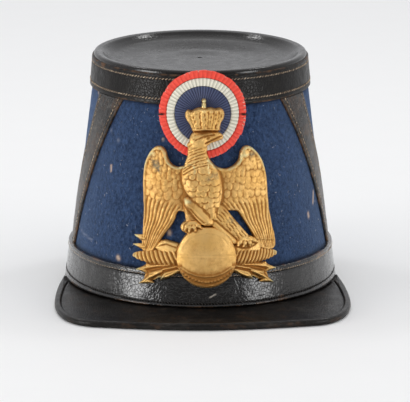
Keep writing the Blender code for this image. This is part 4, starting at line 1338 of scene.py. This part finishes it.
def bird(material):
    """Crowned eagle with spread wings, its head turned to the right."""
    relief = Relief((-45.8, 18.6), (43.4, 112.2), bird_step)
    for spike in SPIKES:
        relief.chiselled(spike, base=0.9, slope=0.8, most=1.5)
    wing(relief, LEFT_WING, -1, 0.55)
    wing(relief, RIGHT_WING, 1, -0.05)
    relief.dome((21.9, 78.4), (2.9, 3.2), base=1.9, rise=1.5)
    for across in (30.0, 32.6, 35.2, 37.8, 40.0):
        relief.feather((across - 0.4, 30.0), (across, 26.4 - 0.16 * (across - 30.0)), 1.4,
                       relief.height.copy(), 0.5, depth_of(relief, RIGHT_WING), point=1.3)
    relief.plate(curve_loop(LEFT_SHANK), base=1.4, rise=1.6, edge=2.6)
    chest(relief)
    thigh(relief)
    right_leg(relief)
    head(relief)
    royal_crown(relief)
    relief.spots(relief.stain, BIRD_STAINS)
    relief.spots(relief.wear, BIRD_WEAR)
    # Painted shade at the joins and under the crown.
    relief.spots(relief.tarnish_and_painted_shade, BIRD_SHADE)
    return relief.finish("eagle_bird", material, ["eagle_plate"])


def chest(relief):
    """Round body with rows of scaly feathers, and strands down the neck."""
    body = curve_loop(BODY)
    relief.plate(body, base=2.3, rise=3.3, edge=7.5, soften=1.2)
    inside_body = depth_of(relief, body)
    chest_rows = [(level, -1.9 - reach, -2.6 + reach + 0.22 * (66.0 - level))
                  for level, reach in CHEST_ROWS]
    scales(relief, chest_rows, 1.95, 5.2, 0.015, 0.95, inside_body - 0.3, point=1.5)
    neck_rows = [(level, -12.4 + 0.14 * (level - 72.0), 5.0 - 0.55 * (level - 72.0))
                 for level in np.arange(72.6, 83.0, 2.2)]
    scales(relief, neck_rows, 1.05, 5.0, 0.085, 0.70, inside_body - 0.2, point=2.0, middle=-4.6)
    for level in np.arange(70.4, 86.0, 1.75):
        bend = 0.5 * np.sin(2.1 * level)
        relief.stroke([(-12.6, level - 3.4), (-8.4, level - 0.4 + bend), (-4.2, level + 1.6),
                       (0.4, level + 2.6 - bend)], 0.42, -0.75, inside_body)
    # Painted light: less darkening over the body, so the chest shows lighter.
    relief.tarnish_and_painted_shade -= 0.16 * (inside_body > 0)


def thigh(relief):
    """Smooth left thigh that crosses the belly, with a few long grooves."""
    loop = curve_loop(LEFT_THIGH)
    relief.plate(loop, base=3.4, rise=2.6, edge=3.2, soften=0.4)
    relief.strokes(THIGH_LINES, depth_of(relief, loop))


def right_leg(relief):
    """Feathered right leg, with a smooth roll between it and the globe."""
    relief.bar((3.6, 38.8), (15.6, 27.0), (2.3, 1.9), base=2.0, rise=2.0)
    loop = curve_loop(RIGHT_LEG)
    relief.plate(loop, base=2.2, rise=2.5, edge=3.4, soften=0.6)
    inside = depth_of(relief, loop)
    ground = relief.height.copy()
    for share in np.linspace(1.0, 0.0, 8):
        for shift in (-2.7, -0.9, 0.9, 2.7):
            along = share + 0.05 * rng.normal()
            tip = (mix(8.6, 22.4, along) + 0.76 * shift, mix(41.6, 27.2, along) + 0.66 * shift)
            root = (tip[0] - 3.6, tip[1] + 3.9)
            relief.feather(root, tip, 1.05, ground, 0.75, inside, point=2.2)
    for row, share in enumerate(np.linspace(0.0, 0.90, 6)):
        middle = np.array([mix(7.4, 23.0, share), mix(44.4, 27.8, share)])
        for shift in (-1.9, 0.0, 1.9) if row % 2 else (-2.8, -0.95, 0.95, 2.8):
            start = middle + shift * np.array([0.72, 0.69])
            relief.stroke([start, start + (1.5, -1.7), start + (2.3, -2.9)], 0.34, -0.55, inside)


def head(relief):
    """Flat-browed head with a hooked beak and a deep-set eye."""
    loop = curve_loop(HEAD)
    relief.plate(loop, base=2.0, rise=2.6, edge=3.4, soften=0.4)
    inside = depth_of(relief, loop)
    relief.dome((-4.0, 87.0), (5.4, 6.2), base=2.6, rise=2.9)
    cheek = [(level, -9.0, 0.2 - 0.3 * (level - 80.0)) for level in (80.6, 82.8, 85.0, 87.2)]
    scales(relief, cheek, 0.95, 3.6, 0.03, 0.55, inside - 0.2, point=1.8, middle=8.0)
    relief.strokes(HEAD_LINES, inside)
    # Painted shade in the eye socket.
    relief.spots(relief.tarnish_and_painted_shade, [(eye, 0.8, 0.8)])
    relief.stroke([(0.9, 88.9), (1.1, 88.9)], 0.8, -0.8)
    relief.bead(eye, 0.55, 0.5)


def royal_crown(relief):
    """Chased open-work crown in six lobes that flare from a ring, with an orb on top."""
    loop = curve_loop(CROWN)
    part, depth = relief.plate(loop, base=2.0, rise=1.6, edge=1.8)
    u, v = relief.u[part], relief.v[part]
    half = np.interp(v, (93.0, 97.5, 102.0, 106.0), (7.2, 9.0, 10.7, 10.7))
    across = np.clip((u - crown_middle) / half, -1.0, 1.0)
    lobe = np.interp(across, CROWN_LOBES, np.arange(len(CROWN_LOBES)))
    lobed = np.sin(pi * (lobe % 1.0)) ** 0.5
    beaded = np.sin(2 * pi * v / 2.1 + pi * np.floor(lobe))
    swell = 1.5 * np.sqrt(1.0 - 0.8 * across ** 2) + 0.75 * lobed + 0.12 * beaded * lobed
    relief.height[part] += np.where(depth > 0, swell * ease(depth / 1.2), 0.0)
    inside = depth_of(relief, loop)
    for spot in CROWN_PITS:
        relief.stroke([(spot[0], spot[1] - 0.5), (spot[0], spot[1] + 0.5)], 0.42, -0.55, inside)
    for edge in np.arange(0.5, 6.0):
        place = np.interp(edge, np.arange(len(CROWN_LOBES)), CROWN_LOBES)
        relief.bead((crown_middle + 10.5 * place, 104.6 - 0.8 * place ** 2), 1.15, 0.7)
        relief.bead((crown_middle + 7.7 * place, 95.6), 0.75, 0.4)
    relief.stroke([(-6.6, 93.9), (-1.6, 94.3), (6.8, 94.0)], 0.42, 0.5, inside)
    relief.stroke([(-6.4, 92.9), (-1.6, 93.2), (6.4, 93.0)], 0.34, -1.3, inside)
    relief.bar((-1.4, 105.6), (-1.3, 108.2), (1.5, 1.2), base=1.6, rise=1.7)
    relief.dome((-1.3, 108.6), (1.35, 0.8), base=1.6, rise=2.0)
    relief.dome((-1.3, 110.4), (1.3, 1.4), base=1.6, rise=2.1)


def spindle(relief, root, tip, pitch):
    """Swelling bolt wound round with slanting ribs, narrowing to its blunt tip."""
    part = relief.window([root, tip], 6.5)
    root, tip = np.array(root), np.array(tip)
    length = np.linalg.norm(tip - root)
    along = (tip - root) / length
    u, v = relief.u[part] - root[0], relief.v[part] - root[1]
    run = u * along[0] + v * along[1]
    up = (v * along[0] - u * along[1]) * np.sign(along[0])
    share = np.clip(run / length, 0.0, 1.0)
    half = spindle_half * (1.0 - 0.80 * share ** 3.2)
    rib = 0.5 - 0.5 * np.cos(2 * pi * (run - 0.45 * up) / pitch)
    half = half * mix(0.94, 1.0, rib)
    capped = np.hypot(up, np.maximum(run - length + half, 0.0))
    depth = np.minimum(half - capped, run)
    swell = np.sqrt(np.maximum(1.0 - (capped / half) ** 2, 0.0))
    stand = mix(2.1, 3.0, ease(share * 4.0)) * (half / spindle_half)
    height = 1.1 + stand * swell - 1.3 * (1.0 - rib) * np.sqrt(swell)
    relief.add(part, height, depth)
    # Painted shade on the lower side of the bolt.
    low = ease((-up - 1.2) / 2.6) * (depth > 0)
    relief.tarnish_and_painted_shade[part] += 0.55 * low


def on_side(points, side):
    """The points as they are (1) or mirrored (-1)."""
    return [(side * across, up) for across, up in points]


def globe(material):
    """Globe with a belt, an arc and a row of beads, held on winged bolts and arrows."""
    relief = Relief((-45.6, -0.6), (44.4, 40.4), globe_step)
    for side in (1, -1):
        relief.plate(on_side(BOLT_BED, side), base=0.6, rise=0.6, edge=0.8)
    for loop, side in product(BOLTS, (1, -1)):
        relief.chiselled(on_side(loop, side), base=1.2, slope=1.3, most=1.7)
    for line, side in product(BOLT_RIDGES, (1, -1)):
        relief.stroke(on_side(line, side), 0.42, 0.55)
    relief.plate(curve_loop(LEFT_LEAF), base=1.2, rise=1.7, edge=3.0)
    relief.plate(curve_loop(RIGHT_LEAF), base=1.2, rise=1.7, edge=2.4)
    relief.strokes(LEAF_LINES)
    relief.bead((-23.2, 26.8), 0.9, 0.8)
    spindle(relief, (-13.0, 17.9), (-43.9, 16.8), 2.7)
    spindle(relief, (13.0, 18.2), (42.9, 17.5), 2.15)
    relief.dome(globe_middle, globe_half, base=3.5, rise=2.9)
    ball = depth_of(relief, [(globe_middle[0] + globe_half[0] * cos(turn),
                              globe_middle[1] + globe_half[1] * sin(turn))
                             for turn in round_turns(60)])
    relief.strokes(GLOBE_LINES, ball)
    for place in np.arange(-12.4, 12.5, 1.65):
        relief.bead((globe_middle[0] + place, 4.9 + 5.6 * (place / 13.0) ** 2), 0.70, 0.85)
    # Darker brown below the low arc, towards the bottom of the globe.
    low_edge = globe_middle[1] - 8.0 + 2.6 * (relief.u / 12.0) ** 2
    relief.tarnish_and_painted_shade += 0.70 * ease((low_edge + 3.0 - relief.v) / 7.0) * (ball > 0)
    relief.dome((-9.2, 35.9), (5.6, 4.0), base=2.4, rise=2.0)
    relief.dome((22.6, 26.2), (6.4, 3.6), base=2.4, rise=2.0)
    relief.spots(relief.tarnish_and_painted_shade, GLOBE_BROWN)
    for foot, knuckle, tip in CLAWS:
        relief.bar(foot, knuckle, (1.7, 1.5), base=3.6, rise=2.0)
        relief.bar(knuckle, tip, (1.45, 0.65), base=3.6, rise=2.3)
        relief.bead(knuckle, 1.2, 0.4)
    relief.spots(relief.wear, BOLT_WEAR)
    return relief.finish("eagle_globe", material, ["eagle_plate"])


# Threads and fibres

def capsules(middles, alongs, ups, half_length, radius, sides=6):
    """Short round bars, one for each middle, as points and faces."""
    shares = np.array([-1.0, -0.85, -0.45, 0.45, 0.85, 1.0])
    fat = np.array([0.25, 0.75, 1.0, 1.0, 0.75, 0.25])
    around = round_turns(sides)
    sideways = np.cross(alongs, ups)
    spots = (middles[:, None, None] + alongs[:, None, None] * (shares * half_length)[:, None, None]
             + sideways[:, None, None] * (fat[:, None] * np.cos(around) * radius)[..., None]
             + ups[:, None, None] * (fat[:, None] * np.sin(around) * radius)[..., None])
    faces = grid_faces(len(shares), sides, closed_round=True).tolist()
    faces += [list(range(sides))[::-1], [len(shares) * sides - sides + i for i in range(sides)]]
    size = len(shares) * sides
    every = [[corner + size * i for corner in face] for i in range(len(middles)) for face in faces]
    return spots.reshape(-1, 3), every


def unit(vectors):
    return vectors / np.linalg.norm(vectors, axis=-1, keepdims=True)


def stitch_row(place, count, slant, half_length, radius, sunk):
    """Stitches along place(share, sideways, stand off), each turned by a slant."""
    share = (np.arange(count) + 0.5) / count
    small = 0.05 * MM
    middle = place(share, 0.0, -sunk)
    along = unit(place(share + 1e-4, 0.0, 0.0) - place(share - 1e-4, 0.0, 0.0))
    sideways = unit(place(share, small, 0.0) - place(share, -small, 0.0))
    outward = unit(place(share, 0.0, small) - place(share, 0.0, -small))
    angle = slant + 0.14 * rng.normal(size=(count, 1))
    leaning = unit(along * np.cos(angle) + sideways * np.sin(angle))
    outward = unit(outward - leaning * np.sum(outward * leaning, axis=-1, keepdims=True))
    return capsules(middle, leaning, outward, half_length, radius)


def join_rows(name, rows, material):
    """One mesh of many stitches."""
    spots, faces, base = [], [], 0
    for row_spots, row_faces in rows:
        spots.append(row_spots)
        faces += [[corner + base for corner in face] for face in row_faces]
        base += len(row_spots)
    return add_piece(name, np.concatenate(spots), faces, material)


def round_seam(z_of, stand_off):
    """Place along a seam right round the cap."""
    def place(share, sideways, off):
        turn = 2 * pi * share
        return on_cap(turn, z_of(turn) + sideways, stand_off + off)
    return place


def strip_seam(side, half, inset, at_inner):
    """Place along one edge of a side strip's arm."""
    def place(share, sideways, off):
        low = bottom_band_height + gap
        if at_inner:
            share = mix(*inner_seam_run, share)
        outer = bow(strip_outer_turns, share)
        inner = bow(strip_inner_turns, share)
        z = mix(low, top_band_low_z(radians(60.0)) - gap, share)
        shift = (inset + sideways) / (sum(half_sizes(z)) / 2 * radians(1.0))
        degrees = inner - shift if at_inner else outer + shift
        turn = np.radians(side_turn + (degrees - side_turn) * half) * side
        return on_cap(turn, z, gap + strip_thickness + off)
    return place


def cockade_ties(cream, dark):
    """Dark threads in the two notches and a few cream stitches at the right edge."""
    def bars(angles, near, far, radius):
        ends = [cockade_point(angles, part * MM, cockade_thickness + 0.1 * MM)
                for part in (near, far)]
        middle, along = (ends[0] + ends[1]) / 2, unit(ends[1] - ends[0])
        outward = unit(np.cross(along, (0.0, 0.0, 1.0)))
        outward = outward * np.sign(-outward[:, 1:2])
        return capsules(middle, along, outward, (far - near) / 2 * MM, radius * MM)

    threads = bars(np.radians(NOTCH_THREADS), 22.6, 26.0, 0.20)
    stitches = bars(np.radians(EDGE_STITCHES), 23.4, 24.7, 0.22)
    join_rows("cockade_threads", [threads], dark)
    join_rows("cockade_stitches", [stitches], cream)


def lint(material):
    """Loose pale fibres caught in the nap of the cloth."""
    turn = rng.uniform(-pi, pi, lint_count)
    z = rng.uniform(bottom_band_height + 2 * MM, top_band_low_z(0.0) - 2 * MM, lint_count)
    middle = on_cap(turn, z, 0.0)
    outward = unit(on_cap(turn, z, 1 * MM) - middle)
    sideways = unit(np.cross(outward, (0.0, 0.0, 1.0)))
    angle = rng.uniform(0.0, pi, (lint_count, 1))
    along = sideways * np.cos(angle) + np.cross(outward, sideways) * np.sin(angle)
    rows = [capsules(middle[i::3], along[i::3], outward[i::3], half * MM, 0.11 * MM, sides=4)
            for i, half in enumerate((0.25, 0.45, 0.8))]
    join_rows("cloth_lint", rows, material)


def all_stitches(tan, dark):
    outer_top = gap + top_band_thickness + 0.55 * top_band_lean
    top = [
        stitch_row(round_seam(lambda t: rim_z(t) - top_band_drop - top_seam_inset, outer_top),
                   *TOP_STITCHES),
        stitch_row(round_seam(lambda t: top_band_low_z(t) + top_low_seam_inset,
                              outer_top - 0.2 * MM), *TOP_LOW_STITCHES)]
    outer = gap + bottom_band_thickness
    hem = [stitch_row(round_seam(lambda t: bottom_band_height - hem_seam_inset + 0.0 * t,
                                 outer + band_hem_rise), *HEM_STITCHES)]
    foot = [stitch_row(round_seam(lambda t: seam_z(t) + 0.8 * MM, outer), *FOOT_STITCHES)]
    arms = [stitch_row(strip_seam(side, half, strip_seam_inset, at_inner),
                       arm_inner_count if at_inner else arm_outer_count, *ARM_STITCHES)
            for side, half, at_inner in product((-1, 1), (1, -1), (False, True))]
    join_rows("stitches_top", top, tan)
    join_rows("stitches_hem", hem, tan)
    join_rows("stitches_foot", foot, dark)
    join_rows("stitches_arms", arms, tan)


# Floor, light and camera

def floor():
    bpy.ops.mesh.primitive_plane_add(size=floor_size)
    plane = bpy.context.object
    plane.name = "floor"
    plane.data.materials.append(paper())


def area_light(name, spot, aim, size, power):
    light = bpy.data.lights.new(name, "AREA")
    light.shape = "RECTANGLE"
    light.size, light.size_y = size
    light.energy = power
    holder = bpy.data.objects.new(name, light)
    holder.location = spot
    holder.rotation_euler = (Vector(aim) - Vector(spot)).to_track_quat("-Z", "Y").to_euler()
    bpy.context.scene.collection.objects.link(holder)


def studio():
    """Bright surroundings, darker low in front, with a strip light for each highlight."""
    world = bpy.data.worlds.new("studio")
    bpy.context.scene.world = world
    world.use_nodes = True
    tree = world.node_tree
    way = add_node(tree, "SeparateXYZ", {0: add_node(tree, "TexCoord", {}).outputs["Generated"]})
    level = ranged(tree, way.outputs["Y"], -0.90, -0.15, front_light, side_light)
    high = ranged(tree, way.outputs["Z"], 0.30, 0.85)
    back = tree.nodes["Background"]
    back.inputs["Color"].default_value = SURROUNDINGS
    strength = add_node(tree, "Mix", {0: high, 2: level, 3: top_light}, data_type="FLOAT")
    tree.links.new(strength.outputs[0], back.inputs["Strength"])
    middle = (0.0, cap_middle_y, height / 2)
    crown = (0.0, cap_middle_y, height)
    for lamps, aim in ((LAMPS, middle), (LIP_LAMPS, crown)):
        for name, spot, size, power in lamps:
            area_light(name, spot, aim, size, power)
    bpy.context.scene.view_settings.view_transform = "Standard"


def camera():
    lens = bpy.data.cameras.new("camera")
    lens.lens = camera_lens
    lens.sensor_width = sensor_width
    holder = bpy.data.objects.new("camera", lens)
    up, round_angle = radians(camera_elevation), radians(camera_azimuth)
    level = camera_distance * cos(up)
    holder.location = (
        aim_across * cos(round_angle) - level * sin(round_angle),
        cap_middle_y - level * cos(round_angle) - aim_across * sin(round_angle),
        aim_height + camera_distance * sin(up))
    holder.rotation_euler = (pi / 2 - up, 0.0, -round_angle)
    bpy.context.scene.collection.objects.link(holder)
    bpy.context.scene.camera = holder


def build():
    glazed = leather("leather_glazed", gloss=0.23, crackle=0.045, dust=0.08, glaze=1.0)
    strap = leather("leather_strap", gloss=0.35, crackle=0.07, dust=0.10, glaze=0.14)
    worn = leather("leather_worn", gloss=0.38, crackle=0.18, dust=1.0, glaze=0.50)
    moulded = leather("leather_moulded", gloss=0.25, crackle=0.016, dust=0.05, glaze=0.5)
    streaked = leather("leather_streaked", gloss=0.34, crackle=0.08, dust=0.42, glaze=0.22,
                       streaks=(0.35, 1.0, 1.0))
    cloth_wall(felt())
    bottom_strap(glazed)
    top_strap(strap)
    crown_leather(moulded)
    peak_leather(streaked)
    side_strip("strap_left", -1, "chevron_left", worn)
    side_strip("strap_right", 1, "chevron_right", worn)
    white_outer = rosette_radius - red_width - gap
    blue_outer = white_outer - white_width - gap
    red = ribbon("ribbon_red", RED_RIDGE, RED_VALLEY_SHADE)
    white = ribbon("ribbon_white", WHITE_RIDGE, WHITE_VALLEY_SHADE)
    blue = ribbon("ribbon_blue", BLUE_RIDGE, BLUE_VALLEY_SHADE)
    rosette_ring("rosette_red", rosette_radius - red_width, rosette_radius, "cockade_red",
                 red, red_ragged)
    rosette_ring("rosette_white", white_outer - white_width, white_outer, "cockade_white",
                 white)
    rosette_ring("rosette_blue", 0.5 * MM, blue_outer, "cockade_blue", blue)
    all_stitches(thread("thread_tan", *TAN_THREAD), thread("thread_dark", *DARK_THREAD))
    cream = thread("thread_cream", *CREAM_THREAD)
    cockade_ties(cream, thread("thread_black", *BLACK_THREAD))
    lint(thread("lint_pale", *PALE_LINT))
    metal = brass()
    bird(metal)
    globe(metal)
    floor()
    studio()
    camera()


build()
